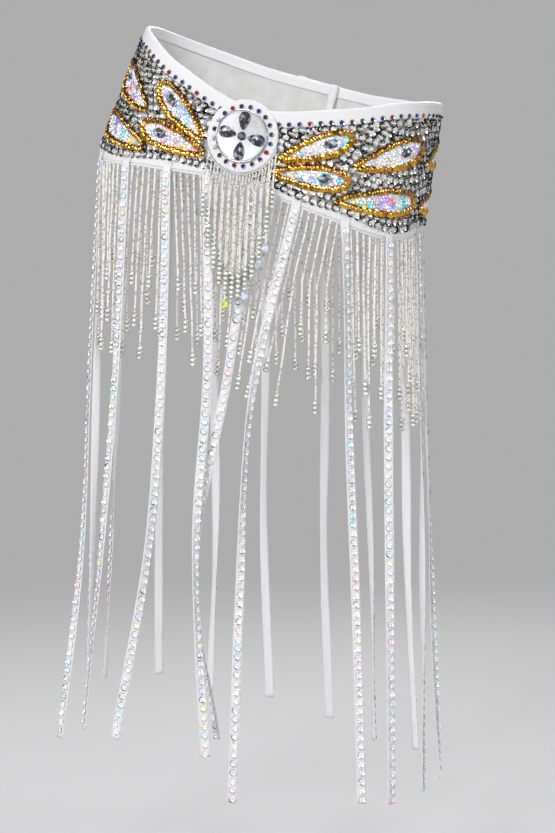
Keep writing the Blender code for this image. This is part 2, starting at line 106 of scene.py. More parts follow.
# %% Sizes of the hip form and the band
HIP_HALF_WIDTH, HIP_HALF_DEPTH = 0.1827, 0.120
SIDE_FLARE, FRONT_FLARE = 0.110, 0.050
SECTION_POWER = 2.25
WALL, TRIM_WALL, SEAM = 0.0025, 0.0010, 0.0003
BAND_HALF_LENGTH, HALF_ROUND = 0.5155, 0.49069
OVERLAP_STEP = 0.0061
LIFT_START, LIFT_END = 0.340, 0.464
NUDGE = 1e-4
# Distance from centre front, height of the hem edge, height of the top edge.
EDGE_TABLE = (
    (0.0000, 0.0037, 0.0796),
    (0.1000, -0.0054, 0.1029),
    (0.1770, -0.0127, 0.1280),
    (0.2485, 0.0000, 0.1368),
    (0.3600, 0.0040, 0.1310),
    (0.4300, 0.0060, 0.1260),
    (0.5200, 0.0060, 0.1260),
)
HEM, TOP = 1, 2
SIDES = ((-1, "left"), (1, "right"))
FULL_SIZE = (1.0, 1.0, 1.0)


def eased(share):
    """0 to 1 with flat ends."""
    share = min(1.0, max(0.0, share))
    return share * share * (3 - 2 * share)


def table_value(table, at, column=1):
    """A smooth curve through one column of a table whose first column rises."""
    rows = [(row[0], row[column]) for row in table]
    if at <= rows[0][0]:
        return rows[0][1]
    if at >= rows[-1][0]:
        return rows[-1][1]
    slopes = [0.0]
    for before, after in zip(rows, rows[2:]):
        slopes.append((after[1] - before[1]) / (after[0] - before[0]))
    slopes.append(0.0)
    i = max(k for k in range(len(rows) - 1) if rows[k][0] <= at)
    (x0, y0), (x1, y1) = rows[i], rows[i + 1]
    span = x1 - x0
    s = (at - x0) / span
    lead = s * (1 - s) * (1 - s) * span * slopes[i]
    tail = s * s * (s - 1) * span * slopes[i + 1]
    return y0 + (y1 - y0) * eased(s) + lead + tail


# %% Points on the cloth
def rounded(value):
    """A sine or cosine, changed to make the oval squarer."""
    return math.copysign(abs(value) ** (2 / SECTION_POWER), value)


def section_point(angle, height):
    across, ahead = rounded(math.sin(angle)), rounded(math.cos(angle))
    half_width = HIP_HALF_WIDTH - SIDE_FLARE * height
    half_depth = HIP_HALF_DEPTH - FRONT_FLARE * height
    return Vector((half_width * across, -half_depth * ahead, height))


def section_normal(angle, height):
    along = section_point(angle + NUDGE, height) - section_point(angle - NUDGE, height)
    up = section_point(angle, height + NUDGE) - section_point(angle, height - NUDGE)
    return along.cross(up).normalized()


def arc_table(steps=720, reach=math.radians(200)):
    """Pairs of hem distance and angle."""
    angles = [reach * (2 * i / steps - 1) for i in range(steps + 1)]
    points = [section_point(angle, 0.0) for angle in angles]
    distances = [0.0]
    for before, after in zip(points, points[1:]):
        distances.append(distances[-1] + (after - before).length)
    middle = distances[steps // 2]
    return [(distance - middle, angle) for distance, angle in zip(distances, angles)]


ARC = arc_table()


def angle_at(distance):
    low, high = 0, len(ARC) - 1
    while high - low > 1:
        middle = (low + high) // 2
        if ARC[middle][0] <= distance:
            low = middle
        else:
            high = middle
    (d0, a0), (d1, a1) = ARC[low], ARC[high]
    return a0 + (a1 - a0) * (distance - d0) / (d1 - d0)


def cloth(distance, height, out=0.0):
    """A point on the band's outer face, or moved straight out of it, as the belt is worn."""
    angle = angle_at(distance)
    lift = OVERLAP_STEP * eased((distance - LIFT_START) / (LIFT_END - LIFT_START))
    point = section_point(angle, height) + section_normal(angle, height) * (out + lift)
    return WEAR @ (point - Vector((0.0, 0.0, HOLD_HEIGHT)))


def cloth_out(distance, height):
    """The direction straight out of the cloth."""
    return (WEAR @ section_normal(angle_at(distance), height)).normalized()


def cloth_along(distance, height=0.0):
    """The direction along the band, away from centre front on the right."""
    return (cloth(distance + NUDGE, height) - cloth(distance - NUDGE, height)).normalized()


def level_out(distance):
    """The level direction away from the hips."""
    normal = WEAR @ section_normal(angle_at(distance), 0.0)
    normal.z = 0.0
    return normal.normalized()


def hem_at(distance):
    return table_value(EDGE_TABLE, abs(distance), HEM)


def top_at(distance):
    return table_value(EDGE_TABLE, abs(distance), TOP)


print("hem line", round(ARC[-1][0], 3), "to the end of the table; top centre", cloth(0.0, top_at(0.0)))

# %% [markdown]
# ## Helpers for pieces
#
# A sheet is a flat grid whose points are sent to their place, because a grid keeps its even rows
# and a tidy UV map, as cut cloth keeps its threads. Small repeated things, such as sequins and
# beads, could be separate objects, but thousands of objects are slow. So one template is placed on
# a cloud of points by a few geometry nodes, and the result is made real as one mesh that remembers
# each copy's own colour.

# %% Making and seating pieces
SHADE_ANGLE = math.radians(40)


def add_object(name, mesh, *materials):
    for material in materials:
        mesh.materials.append(material)
    piece = bpy.data.objects.new(name, mesh)
    bpy.context.scene.collection.objects.link(piece)
    return piece


def from_bmesh(name, bm, *materials, smooth=True):
    """One object from a finished bmesh."""
    mesh = bpy.data.meshes.new(name)
    bm.to_mesh(mesh)
    bm.free()
    if smooth:
        mesh.shade_smooth()
        mesh.set_sharp_from_angle(angle=SHADE_ANGLE)
    return add_object(name, mesh, *materials)


def apply_modifiers(piece):
    graph = bpy.context.evaluated_depsgraph_get()
    finished = piece.evaluated_get(graph)
    mesh = bpy.data.meshes.new_from_object(finished, preserve_all_data_layers=True, depsgraph=graph)
    piece.modifiers.clear()
    piece.data = mesh
    mesh.name = piece.name
    return piece


def seat(piece, slot_name, *nodes):
    """The piece rides on the belt's one body and may stand for solids of the frame."""
    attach(piece, "root")
    if nodes:
        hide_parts(*nodes)
    return piece


def sheet_piece(name, columns, rows, place, wall, *materials):
    """A grid of cloth. place gives the point for shares 0 to 1 along and across."""
    bm = bmesh.new()
    bm.loops.layers.uv.new("UVMap")
    bmesh.ops.create_grid(bm, x_segments=columns, y_segments=rows, size=0.5, calc_uvs=True)
    for vert in bm.verts:
        vert.co = place(vert.co.x + 0.5, vert.co.y + 0.5)
    piece = from_bmesh(name, bm, *materials)
    solidify = piece.modifiers.new("wall", "SOLIDIFY")
    solidify.thickness = wall
    solidify.offset = -1.0
    if len(materials) > 1:
        solidify.material_offset = 1
    return apply_modifiers(piece)


def facing(out, along):
    """The turn that puts a template's Z on out and its X as near to along as it can."""
    z = out.normalized()
    x = (along - z * along.dot(z)).normalized()
    return Matrix((x, z.cross(x), z)).transposed().to_quaternion()


def lying(distance, height):
    """The turn of a small thing that lies flat on the cloth."""
    return facing(cloth_out(distance, height), cloth_along(distance, height))


# %% Scattering a template over many places
def scatter_nodes(template):
    """Geometry nodes that copy a template to each point, turned and sized as the point says."""
    tree = bpy.data.node_groups.new(template.name + " scatter", "GeometryNodeTree")
    for way in ("INPUT", "OUTPUT"):
        tree.interface.new_socket("Geometry", in_out=way, socket_type="NodeSocketGeometry")
    start, end = tree.nodes.new("NodeGroupInput"), tree.nodes.new("NodeGroupOutput")
    shape = tree.nodes.new("GeometryNodeObjectInfo")
    shape.inputs["Object"].default_value = template
    copies = tree.nodes.new("GeometryNodeInstanceOnPoints")
    real = tree.nodes.new("GeometryNodeRealizeInstances")
    for label, kind, socket in (("turn", "QUATERNION", "Rotation"), ("size", "FLOAT_VECTOR", "Scale")):
        own = tree.nodes.new("GeometryNodeInputNamedAttribute")
        own.data_type = kind
        own.inputs["Name"].default_value = label
        tree.links.new(own.outputs["Attribute"], copies.inputs[socket])
    tree.links.new(start.outputs[0], copies.inputs["Points"])
    tree.links.new(shape.outputs["Geometry"], copies.inputs["Instance"])
    tree.links.new(copies.outputs["Instances"], real.inputs["Geometry"])
    tree.links.new(real.outputs["Geometry"], end.inputs[0])
    return tree


def scatter(name, template, places):
    """One joined mesh. Each place is a point, a turn, a size in X, Y and Z, and a colour."""
    bm = bmesh.new()
    for point, _, _, _ in places:
        bm.verts.new(point)
    piece = from_bmesh(name, bm, smooth=False)
    layers = piece.data.attributes
    for label, kind in (("turn", "QUATERNION"), ("size", "FLOAT_VECTOR"), ("tint", "FLOAT_COLOR")):
        layers.new(label, kind, "POINT")
    for i, (_, turn, size, tint) in enumerate(places):
        layers["turn"].data[i].value = turn
        layers["size"].data[i].vector = size
        layers["tint"].data[i].color = (*tint, 1.0)
    piece.modifiers.new("copies", "NODES").node_group = scatter_nodes(template)
    apply_modifiers(piece)
    for extra in ("turn", "size"):
        leftover = piece.data.attributes.get(extra)
        if leftover:
            piece.data.attributes.remove(leftover)
    print(name, len(places), "copies,", len(piece.data.polygons), "faces")
    return piece


# %% [markdown]
# ## Finishes
#
# Four effects are shared by several finishes: the fine crossing threads of a plain cloth, the long
# floats that give satin its gleam, an uneven polish that keeps metal and plastic from looking drawn
# by machine, and the patches of light and dark inside a cut stone, which are painted reflections.
# Each is a node group that only puts out a height, a mask or a level.

# %% Nodes and links
def add_node(tree, kind, **settings):
    node = tree.nodes.new(kind)
    for key, value in settings.items():
        setattr(node, key, value)
    return node


def give(tree, socket, value):
    """An input takes another node's output as a link, and anything else as its own value."""
    if isinstance(value, bpy.types.NodeSocket):
        tree.links.new(value, socket)
    else:
        socket.default_value = value


def feed(tree, node, **inputs):
    """Gives a node its inputs by name, with underscores for spaces."""
    for label, value in inputs.items():
        give(tree, node.inputs[label.replace("_", " ")], value)
    return node


def calculate(tree, operation, *parts):
    """A Math node over links or numbers. Returns its output."""
    node = add_node(tree, "ShaderNodeMath", operation=operation)
    for socket, part in zip(node.inputs, parts):
        give(tree, socket, part)
    return node.outputs[0]


def mapped(tree, value, source, target, **settings):
    """A Map Range node from one pair of limits to another. Returns its output."""
    node = add_node(tree, "ShaderNodeMapRange", **settings)
    feed(tree, node, Value=value, From_Min=source[0], From_Max=source[1], To_Min=target[0], To_Max=target[1])
    return node.outputs[0]


def mixed(tree, factor, first, second, **settings):
    """A Mix node over two colours. Returns its output."""
    node = add_node(tree, "ShaderNodeMix", data_type="RGBA", **settings)
    return feed(tree, node, Factor=factor, A=first, B=second).outputs["Result"]


def noise(tree, place, scale, detail):
    node = add_node(tree, "ShaderNodeTexNoise")
    return feed(tree, node, Vector=place, Scale=scale, Detail=detail).outputs[0]


# %% Shader groups
def new_group(name, inputs, outputs):
    """A group that takes a place and some numbers, and puts out numbers."""
    group = bpy.data.node_groups.new(name, "ShaderNodeTree")
    group.interface.new_socket("Vector", in_out="INPUT", socket_type="NodeSocketVector")
    for label, value in inputs.items():
        socket = group.interface.new_socket(label, in_out="INPUT", socket_type="NodeSocketFloat")
        socket.default_value = value
    for label in outputs:
        group.interface.new_socket(label, in_out="OUTPUT", socket_type="NodeSocketFloat")
    return group, group.nodes.new("NodeGroupInput").outputs, group.nodes.new("NodeGroupOutput")


def weave_group():
    """Plain weave: threads that cross over and under."""
    group, start, end = new_group("Plain weave", {"Threads": 900.0}, ("Height",))
    axes = feed(group, add_node(group, "ShaderNodeSeparateXYZ"), Vector=start["Vector"]).outputs
    waves = []
    for axis in ("X", "Y"):
        phase = calculate(group, "MULTIPLY", axes[axis], start["Threads"])
        waves.append(calculate(group, "SINE", phase))
    crossing = calculate(group, "MULTIPLY", *waves)
    feed(group, end, Height=calculate(group, "MULTIPLY_ADD", crossing, 0.5, 0.5))
    return group


def satin_group():
    """Satin floats: fine streaks along the cloth and slow soft ripples."""
    group, start, end = new_group("Satin floats", {"Fineness": 400.0}, ("Height", "Streak"))
    stretch = add_node(group, "ShaderNodeMapping")
    feed(group, stretch, Vector=start["Vector"], Scale=(1.0, 12.0, 12.0))
    streaks = noise(group, stretch.outputs[0], start["Fineness"], 2.0)
    slow = calculate(group, "MULTIPLY", noise(group, start["Vector"], 45.0, 1.0), 3.0)
    feed(group, end, Height=calculate(group, "ADD", streaks, slow), Streak=streaks)
    return group


def polish_group():
    """Uneven polish: a soft mask of scuffs for roughness, and a faint height."""
    numbers = {"Scale": 300.0, "Low": 0.1, "High": 0.3}
    group, start, end = new_group("Uneven polish", numbers, ("Roughness", "Height"))
    scuffs = noise(group, start["Vector"], start["Scale"], 3.0)
    mask = mapped(group, scuffs, (0.3, 0.7), (start["Low"], start["High"]))
    feed(group, end, Roughness=mask, Height=scuffs)
    return group


def facet_reflection_group():
    """Painted reflections: the patches of light and dark that show inside a cut stone on foil."""
    numbers = {"Scale": 330.0, "Dark": 0.3, "Bright": 1.8, "Kept Dark": 0.0}
    group, start, end = new_group("Foil facets", numbers, ("Level",))
    cells = add_node(group, "ShaderNodeTexVoronoi")
    feed(group, cells, Vector=start["Vector"], Scale=start["Scale"])
    split = feed(group, add_node(group, "ShaderNodeSeparateColor"), Color=cells.outputs["Color"])
    level = mapped(group, split.outputs[0], (start["Kept Dark"], 1.0), (start["Dark"], start["Bright"]))
    feed(group, end, Level=level)
    return group


WEAVE, SATIN, POLISH, FACET_REFLECTIONS = weave_group(), satin_group(), polish_group(), facet_reflection_group()
print("groups:", [group.name for group in (WEAVE, SATIN, POLISH, FACET_REFLECTIONS)])

# %% Materials: a base, then cloth, metal and stone
def new_material(name, colour, roughness, metallic=0.0, **sockets):
    """A Principled material with its constants on the shader's own sockets."""
    material = bpy.data.materials.new(name)
    material.use_nodes = True
    tree = material.node_tree
    shader = tree.nodes["Principled BSDF"]
    feed(tree, shader, Base_Color=(*colour, 1.0), Roughness=roughness, Metallic=metallic, **sockets)
    return material, tree, shader


def use_group(tree, group, place, **values):
    """The outputs of a group at a place."""
    node = add_node(tree, "ShaderNodeGroup", node_tree=group)
    return feed(tree, node, Vector=place, **values).outputs


def add_bump(tree, shader, height, distance):
    bump = feed(tree, add_node(tree, "ShaderNodeBump"), Strength=1.0, Distance=distance, Height=height)
    feed(tree, shader, Normal=bump.outputs["Normal"])


def object_vector(tree):
    return add_node(tree, "ShaderNodeTexCoord").outputs["Object"]


def cloth_material(name, colour, shade, threads, depth, roughness=0.85, **sockets):
    """Plain cloth: a weave, and a slow change towards a shade."""
    material, tree, shader = new_material(name, colour, roughness, **sockets)
    place = object_vector(tree)
    patches = use_group(tree, POLISH, place, Scale=60.0, Low=0.0, High=1.0)["Roughness"]
    feed(tree, shader, Base_Color=mixed(tree, patches, (*colour, 1.0), (*shade, 1.0)))
    add_bump(tree, shader, use_group(tree, WEAVE, place, Threads=threads)["Height"], depth)
    return material


def satin_material(name, colour, shade, fineness=400.0):
    """Satin: streaks change its colour and gleam a little."""
    material, tree, shader = new_material(
        name, colour, 0.38, Sheen_Weight=0.25, Sheen_Roughness=0.4, Specular_IOR_Level=0.6
    )
    satin = use_group(tree, SATIN, object_vector(tree), Fineness=fineness)
    streaked = mixed(tree, satin["Streak"], (*shade, 1.0), (*colour, 1.0))
    gleam = mapped(tree, satin["Streak"], (0.0, 1.0), (0.30, 0.52))
    feed(tree, shader, Base_Color=streaked, Roughness=gleam)
    add_bump(tree, shader, satin["Height"], 0.00035)
    return material


def tinted_material(name, low, high, metallic, facets=None, paler=0.0, edge=1.0, **sockets):
    """Metal, foil or glass in each copy's own tint, with a roughness from low to high.

    paler lets the tint down with white, facets multiplies it by painted reflections, and edge
    darkens it where the surface turns away from the camera, a painted shade at its outline.
    """
    material, tree, shader = new_material(name, (0.8, 0.8, 0.8), low, metallic, **sockets)
    place = object_vector(tree)
    own = add_node(tree, "ShaderNodeAttribute", attribute_name="tint").outputs["Color"]
    colour = mixed(tree, paler, own, (0.94, 0.94, 0.96, 1.0))
    if facets:
        level = use_group(tree, FACET_REFLECTIONS, place, **facets)["Level"]
        colour = mixed(tree, 1.0, colour, level, blend_type="MULTIPLY")
    # Darker where the surface turns away from the camera: a painted shade at the outline.
    if edge < 1:
        away = add_node(tree, "ShaderNodeLayerWeight").outputs["Facing"]
        shade = mapped(tree, away, (0.30, 0.85), (1.0, edge))
        colour = mixed(tree, 1.0, colour, shade, blend_type="MULTIPLY")
    polish = use_group(tree, POLISH, place, Scale=300.0, Low=low, High=high)
    feed(tree, shader, Base_Color=colour, Roughness=polish["Roughness"])
    add_bump(tree, shader, polish["Height"], 0.00003)
    return material


# %% The belt's own finishes
WHITE_SATIN = satin_material("white_satin", (0.85, 0.85, 0.86), (0.71, 0.71, 0.73))
RIBBON_SATIN = satin_material("ribbon_satin", (0.90, 0.89, 0.90), (0.78, 0.77, 0.79), 650.0)
GROUND_CLOTH = cloth_material("ground_cloth", (0.50, 0.50, 0.48), (0.30, 0.30, 0.30), 5200.0, 0.0002)
LINING_CLOTH = cloth_material("lining_cloth", (0.66, 0.66, 0.65), (0.56, 0.56, 0.56), 4200.0, 0.0001)
FASTENING_CLOTH = cloth_material(
    "fastening_cloth", (0.78, 0.78, 0.77), (0.62, 0.62, 0.62), 2600.0, 0.0006
)
THREAD = cloth_material("sewing_thread", (0.80, 0.80, 0.80), (0.62, 0.62, 0.64), 9000.0, 0.0001)
SILVER_SEQUIN = tinted_material("silver_sequin", 0.14, 0.30, 0.75)
GOLD_SEQUIN = tinted_material("gold_sequin", 0.16, 0.34, 1.0)
PEARL_SEQUIN = tinted_material("pearl_sequin", 0.12, 0.28, 0.40, Coat_Weight=1.0, Coat_Roughness=0.06)
# The dark crescent on a silver cup's wall is painted shade, nearly black in most patches.
SILVER_SHADE_CRESCENT = tinted_material(
    "silver_wall", 0.22, 0.36, 0.25, Specular_IOR_Level=0.2,
    facets={"Scale": 140.0, "Dark": 0.012, "Bright": 0.9, "Kept Dark": 0.68},
)
PEARL_FLOOR = tinted_material(
    "pearl_floor", 0.14, 0.30, 0.30, paler=0.75, Coat_Weight=0.6, Coat_Roughness=0.08
)
# The crescent on a ribbon cup's wall is painted: a gleam in the cup's tint, darker in some patches as
# painted shade, while its floor takes the tint let down with white.
PEARL_GLEAM_CRESCENT = tinted_material(
    "pearl_wall", 0.16, 0.30, 0.4, facets={"Scale": 150.0, "Dark": 0.95, "Bright": 0.05, "Kept Dark": 0.75}
)
# Stones and crystal drops carry painted reflections: patches of light and dark multiplied into their tint.
RHINESTONE = tinted_material(
    "rhinestone", 0.04, 0.12, 0.30, facets={"Scale": 900.0, "Dark": 0.4, "Bright": 1.3},
    Coat_Weight=0.3, Coat_Roughness=0.05, Specular_IOR_Level=0.3,
)
CUT_STONE = tinted_material(
    "cut_stone", 0.28, 0.42, 0.35, Specular_IOR_Level=0.2,
    facets={"Scale": 290.0, "Dark": 0.36, "Bright": 3.9, "Kept Dark": 0.40},
)
# Seed and round beads are darkened towards their outline: a painted shade.
SEED_BEAD = tinted_material("seed_bead", 0.14, 0.28, 0.12, edge=0.35, Coat_Weight=0.4, Coat_Roughness=0.10)
SILVER_BEAD = tinted_material("silver_bead", 0.18, 0.32, 0.50, edge=0.15)
CRYSTAL = tinted_material(
    "crystal_drop", 0.03, 0.12, 0.1, facets={"Scale": 380.0, "Dark": 0.45, "Bright": 1.7},
    Transmission_Weight=0.30, IOR=1.55,
)
DISH_WHITE = tinted_material("dish_white", 0.22, 0.38, 0.10, Coat_Weight=0.5, Coat_Roughness=0.12)
SILVER_RIM = cloth_material(
    "silver_rim", (0.55, 0.55, 0.57), (0.35, 0.35, 0.37), 800.0, 0.00001, 0.18, metallic=1.0
)
# The gold thread under the cords is dark as painted shade between the scales.
GOLD_THREAD_AND_SHADE = cloth_material("gold_thread", (0.30, 0.17, 0.04), (0.16, 0.08, 0.02), 3000.0, 0.0004, 0.5)
print("materials:", len(bpy.data.materials))

# %% [markdown]
# ## The band
#
# The band is buckram covered with grey cloth and lined with white. As a thin shell it could be
# drawn as two surfaces, but one grid with a wall keeps both faces the same distance apart, and the
# inside takes the lining's finish. Slow ripples of a third of a millimetre stop it looking moulded.

# %% Band
BAND_WALL = 0.0022
BAND_COLUMNS, BAND_ROWS = 220, 12
RIPPLE = 0.00015


def band_point(along, up):
    """A point of the band's outer face, with its ripples."""
    distance = BAND_HALF_LENGTH * (2 * along - 1)
    height = hem_at(distance) + up * (top_at(distance) - hem_at(distance))
    waves = math.sin(distance * 97.0 + height * 40.0) + math.sin(distance * 41.0 - height * 130.0)
    return cloth(distance, height, RIPPLE * waves - SEAM)


def band_area(steps=200):
    """The flat area of the cut, from its depth along its length."""
    width = 2 * BAND_HALF_LENGTH / steps
    middles = [-BAND_HALF_LENGTH + (i + 0.5) * width for i in range(steps)]
    return sum((top_at(middle) - hem_at(middle)) * width for middle in middles)


band = sheet_piece("band_cloth", BAND_COLUMNS, BAND_ROWS, band_point, BAND_WALL, GROUND_CLOTH, LINING_CLOTH)
seat(band, "sequin_cloth", "belt_band")
band_area()
print("band area", round(band_area(), 4), "square metres")

# %% [markdown]
# ## The bindings
#
# A white satin strip is folded over each edge and stitched through. A folded strip is a grid
# whose short way runs up the front, round a half circle over the edge, and down the inside. The
# stitches pull it in a little, so its free edge ripples between them. The two short ends get a
# strip last, which steps over the ends of the long ones.

# %% Bindings
BINDING_WALL = 0.0008
ON_BINDING = SEAM + TRIM_WALL
FOLD_RADIUS = (WALL + 2 * SEAM + 2 * TRIM_WALL) / 2
FOLD = math.pi * FOLD_RADIUS
PUCKER, PUCKER_PITCH = 0.00018, 0.0096
TOP_FRONT, TOP_INSIDE, HEM_LEG = 0.016, 0.010, 0.009
BINDING_TABLE = (
    ("top_binding_satin", "top_binding", top_at, 1, TOP_FRONT, TOP_INSIDE),
    ("hem_binding_satin", "hem_binding", hem_at, -1, HEM_LEG, HEM_LEG),
)


def folded(run, leg, over):
    """How far past the edge and how far out a strip lies, at a run from its front rim."""
    if run < leg:
        return run - leg, ON_BINDING + over
    if run < leg + FOLD:
        turn = (run - leg) / FOLD_RADIUS
        return FOLD_RADIUS * 0.8 * math.sin(turn), (FOLD_RADIUS + over) * math.cos(turn) - WALL / 2
    return leg + FOLD - run, -WALL - SEAM - TRIM_WALL - over


def binding_place(edge_at, direction, front_leg, inside_leg):
    """A place function for sheet_piece. direction is 1 at the top edge and -1 at the hem."""
    length = front_leg + FOLD + inside_leg

    def place(along, across):
        distance = BAND_HALF_LENGTH * (2 * along - 1)
        run = (across if direction > 0 else 1 - across) * length
        wave = math.sin(2 * math.pi * distance / PUCKER_PITCH + 1.3 * math.sin(distance * 71))
        rise, out = folded(run, front_leg, PUCKER * wave * max(0.0, 1 - run / front_leg))
        return cloth(distance, edge_at(distance) + direction * rise, out)

    return place


for name, node, edge_at, direction, front_leg, inside_leg in BINDING_TABLE:
    place = binding_place(edge_at, direction, front_leg, inside_leg)
    strip = sheet_piece(name, 420, 22, place, BINDING_WALL, WHITE_SATIN)
    seat(strip, "satin", node)

# %% The two short ends
END_LEG, END_PAST = 0.007, 0.0028
END_OVER, END_STEP = 0.0009, 0.006


def end_place(side):
    """A place function for a strip folded over one short end and over the bindings' cut ends."""
    edge = side * BAND_HALF_LENGTH
    low, high = hem_at(edge) - END_PAST, top_at(edge) + END_PAST

    def place(along, across):
        run = (1 - across if side > 0 else across) * (2 * END_LEG + FOLD)
        height = low + along * (high - low)
        past_hem, past_top = height - low - HEM_LEG, high - height - TOP_FRONT
        over = END_OVER * max(1 - eased(past_hem / END_STEP), 1 - eased(past_top / END_STEP))
        reach, out = folded(run, END_LEG, over)
        return cloth(edge + side * reach, height, out)

    return place


for side, label in SIDES:
    strip = sheet_piece(f"end_binding_satin_{label}", 60, 16, end_place(side), BINDING_WALL, WHITE_SATIN)
    seat(strip, "satin")

# %% Stitches
STITCH_LENGTH, STITCH_RADIUS = 0.0022, 0.00028
STITCH_PITCH, STITCH_IN = 0.0032, 0.0014
STITCH_TINT = (0.9, 0.9, 0.9)


def capsule_template(name, length, radius, material):
    """A short round-ended bar along X."""
    bm = bmesh.new()
    bmesh.ops.create_uvsphere(bm, u_segments=6, v_segments=4, radius=radius)
    for vert in bm.verts:
        share = vert.co.z / radius
        shoulder = 0.1 < abs(share) < 0.9
        reach = share * length / 2 * (1.22 if shoulder else 1.0)
        fuller = 1.3 if shoulder else 1.0
        vert.co = Vector((reach, vert.co.x * fuller, vert.co.y * fuller))
    bmesh.ops.recalc_face_normals(bm, faces=bm.faces)
    return from_bmesh(name, bm, material)


STITCH = capsule_template("stitch_template", STITCH_LENGTH, STITCH_RADIUS, THREAD)
stitches = []
for edge_at, direction, leg in ((top_at, -1, TOP_FRONT), (hem_at, 1, HEM_LEG)):
    for i in range(int(2 * BAND_HALF_LENGTH / STITCH_PITCH)):
        distance = -BAND_HALF_LENGTH + (i + 0.5) * STITCH_PITCH
        height = edge_at(distance) + direction * (leg - STITCH_IN)
        point = cloth(distance, height, ON_BINDING + 0.0001)
        stitches.append((point, lying(distance, height), FULL_SIZE, STITCH_TINT))
seat(scatter("binding_stitches", STITCH, stitches), "satin")

# %% [markdown]
# ## Sequins
#
# A cup sequin is a thin dished disc with a hole. Light falling into it as into a small bowl would
# darken one side of its wall: that is the little C that shows all over the band, and here it is
# painted shade, a dark material on the outer wall of each silver cup. The cup is made from one
# circle, extruded outwards three times. A sequin of the ground is sewn down by a short bar over its
# hole, and one of a ribbon by a seed bead in its middle.

# %% Cup template
DEEP_CUP = ((0.32, 0.02), (0.54, 0.20), (1.0, 1.0))
FLAT_CUP = ((0.55, 0.03), (0.82, 0.45), (1.0, 1.0))
WIDE_CUP = ((0.45, 0.03), (0.72, 0.35), (1.0, 1.0))
DOME = ((0.35, -0.06), (0.72, -0.38), (1.0, -1.0))
OPENING = 0.28


def cup_template(name, radius, depth, sides, material, wall=DEEP_CUP, dark=None, with_bead=False):
    """A dished disc with a hole, opening towards +Z. dark is the material of a crescent painted on the wall.
    """
    bm = bmesh.new()
    bmesh.ops.create_circle(bm, segments=sides, radius=radius * 0.10)
    edges = list(bm.edges)
    for reach, height in wall:
        grown = bmesh.ops.extrude_edge_only(bm, edges=edges)["geom"]
        edges = [item for item in grown if isinstance(item, bmesh.types.BMEdge)]
        for vert in {vert for edge in edges for vert in edge.verts}:
            flat = Vector((vert.co.x, vert.co.y, 0.0)).normalized() * radius * reach
            vert.co = flat + Vector((0.0, 0.0, depth * height))
    bmesh.ops.recalc_face_normals(bm, faces=bm.faces)
    if sum(face.normal.z for face in bm.faces) < 0:
        bmesh.ops.reverse_faces(bm, faces=bm.faces)
    # The outer wall, except a gap towards +X, takes the painted crescent.
    for face in bm.faces:
        middle = face.calc_center_median()
        if dark and middle.xy.length > radius * wall[-2][0] and middle.x < OPENING * radius:
            face.material_index = 1
    if with_bead:
        lift = Matrix.Translation((0.0, 0.0, radius * 0.16))
        bmesh.ops.create_icosphere(bm, subdivisions=1, radius=radius * 0.26, matrix=lift)
    return from_bmesh(name, bm, material, *([dark] if dark else []))


SILVER_CUP = cup_template("silver_cup_template", 0.0043, 0.0014, 14, SILVER_SEQUIN, dark=SILVER_SHADE_CRESCENT)
GOLD_SCALE = cup_template("gold_scale_template", 0.0037, 0.0015, 10, GOLD_SEQUIN, DOME)
PEARL_CUP = cup_template("pearl_cup_template", 0.0029, 0.0006, 8, PEARL_SEQUIN, FLAT_CUP)
RIBBON_CUP = cup_template(
    "ribbon_cup_template", 0.0036, 0.0011, 14, PEARL_FLOOR, WIDE_CUP, dark=PEARL_GLEAM_CRESCENT, with_bead=True
)
for cup in (SILVER_CUP, GOLD_SCALE, PEARL_CUP, RIBBON_CUP):
    print(cup.name, len(cup.data.polygons), "faces")

# %% [markdown]
# ## Where the leaves lie
#
# Eight leaves lie on each half of the band, in pairs whose narrow ends point to the medallion. The
# silver ground stops at their outline and a mix of pearly sequins fills them, so both need one test:
# how far a point of the band lies from the middle of a leaf, counted in leaf widths.

# %% Leaf table
LEAF_TAPER = 0.40
NAME, LENGTH, WIDTH = 0, 4, 5
# Name, distance, height, tilt in degrees, length, width.
LEAF_TABLE = (
    ("front_upper", 0.082, 0.058, 30.0, 0.082, 0.022),
    ("front_lower", 0.082, 0.027, 8.0, 0.082, 0.022),
    ("side_upper", 0.170, 0.070, 25.0, 0.092, 0.026),
    ("side_lower", 0.164, 0.020, 11.0, 0.100, 0.024),
    ("back_upper", 0.276, 0.084, 14.0, 0.090, 0.026),
    ("back_lower", 0.272, 0.032, 8.0, 0.092, 0.024),
    ("end_upper", 0.379, 0.084, 5.0, 0.080, 0.026),
    ("end_lower", 0.378, 0.036, 3.0, 0.082, 0.024),
)


def leaf_to_band(leaf, side, x, y):
    """Leaf coordinates, with the narrow end at -x, to distance and height on the band."""
    _, distance, height, tilt, _, _ = leaf
    cosine, sine = math.cos(math.radians(tilt)), math.sin(math.radians(tilt))
    return side * (distance + x * cosine - y * sine), height + x * sine + y * cosine


def band_to_leaf(leaf, distance, height):
    """The reverse, for the half of the band that the point is on."""
    _, middle, middle_height, tilt, _, _ = leaf
    cosine, sine = math.cos(math.radians(tilt)), math.sin(math.radians(tilt))
    dx, dy = abs(distance) - middle, height - middle_height
    return dx * cosine + dy * sine, dy * cosine - dx * sine


def leaf_depth(leaf, x, y, margin):
    """Below 1 inside the outline, widened by margin."""
    length, width = leaf[LENGTH] + 2 * margin, leaf[WIDTH] + 2 * margin
    across = 2 * x / length
    if abs(across) >= 1:
        return math.inf
    half = width / 2 * math.sqrt(1 - across * across) * (1 + LEAF_TAPER * across)
    return abs(y) / half


def in_any_leaf(distance, height, margin):
    return any(leaf_depth(leaf, *band_to_leaf(leaf, distance, height), margin) < 1 for leaf in LEAF_TABLE)


print("leaves on each half:", [leaf[NAME] for leaf in LEAF_TABLE])

# %% [markdown]
# ## The silver ground
#
# The ground sequins are sewn in overlapping rows. Each cup leans on the next one, in a slightly
# different direction, so a moving light would run over the band in sparks. Rows follow the band,
# with a seeded shake so that the result is the same each time.

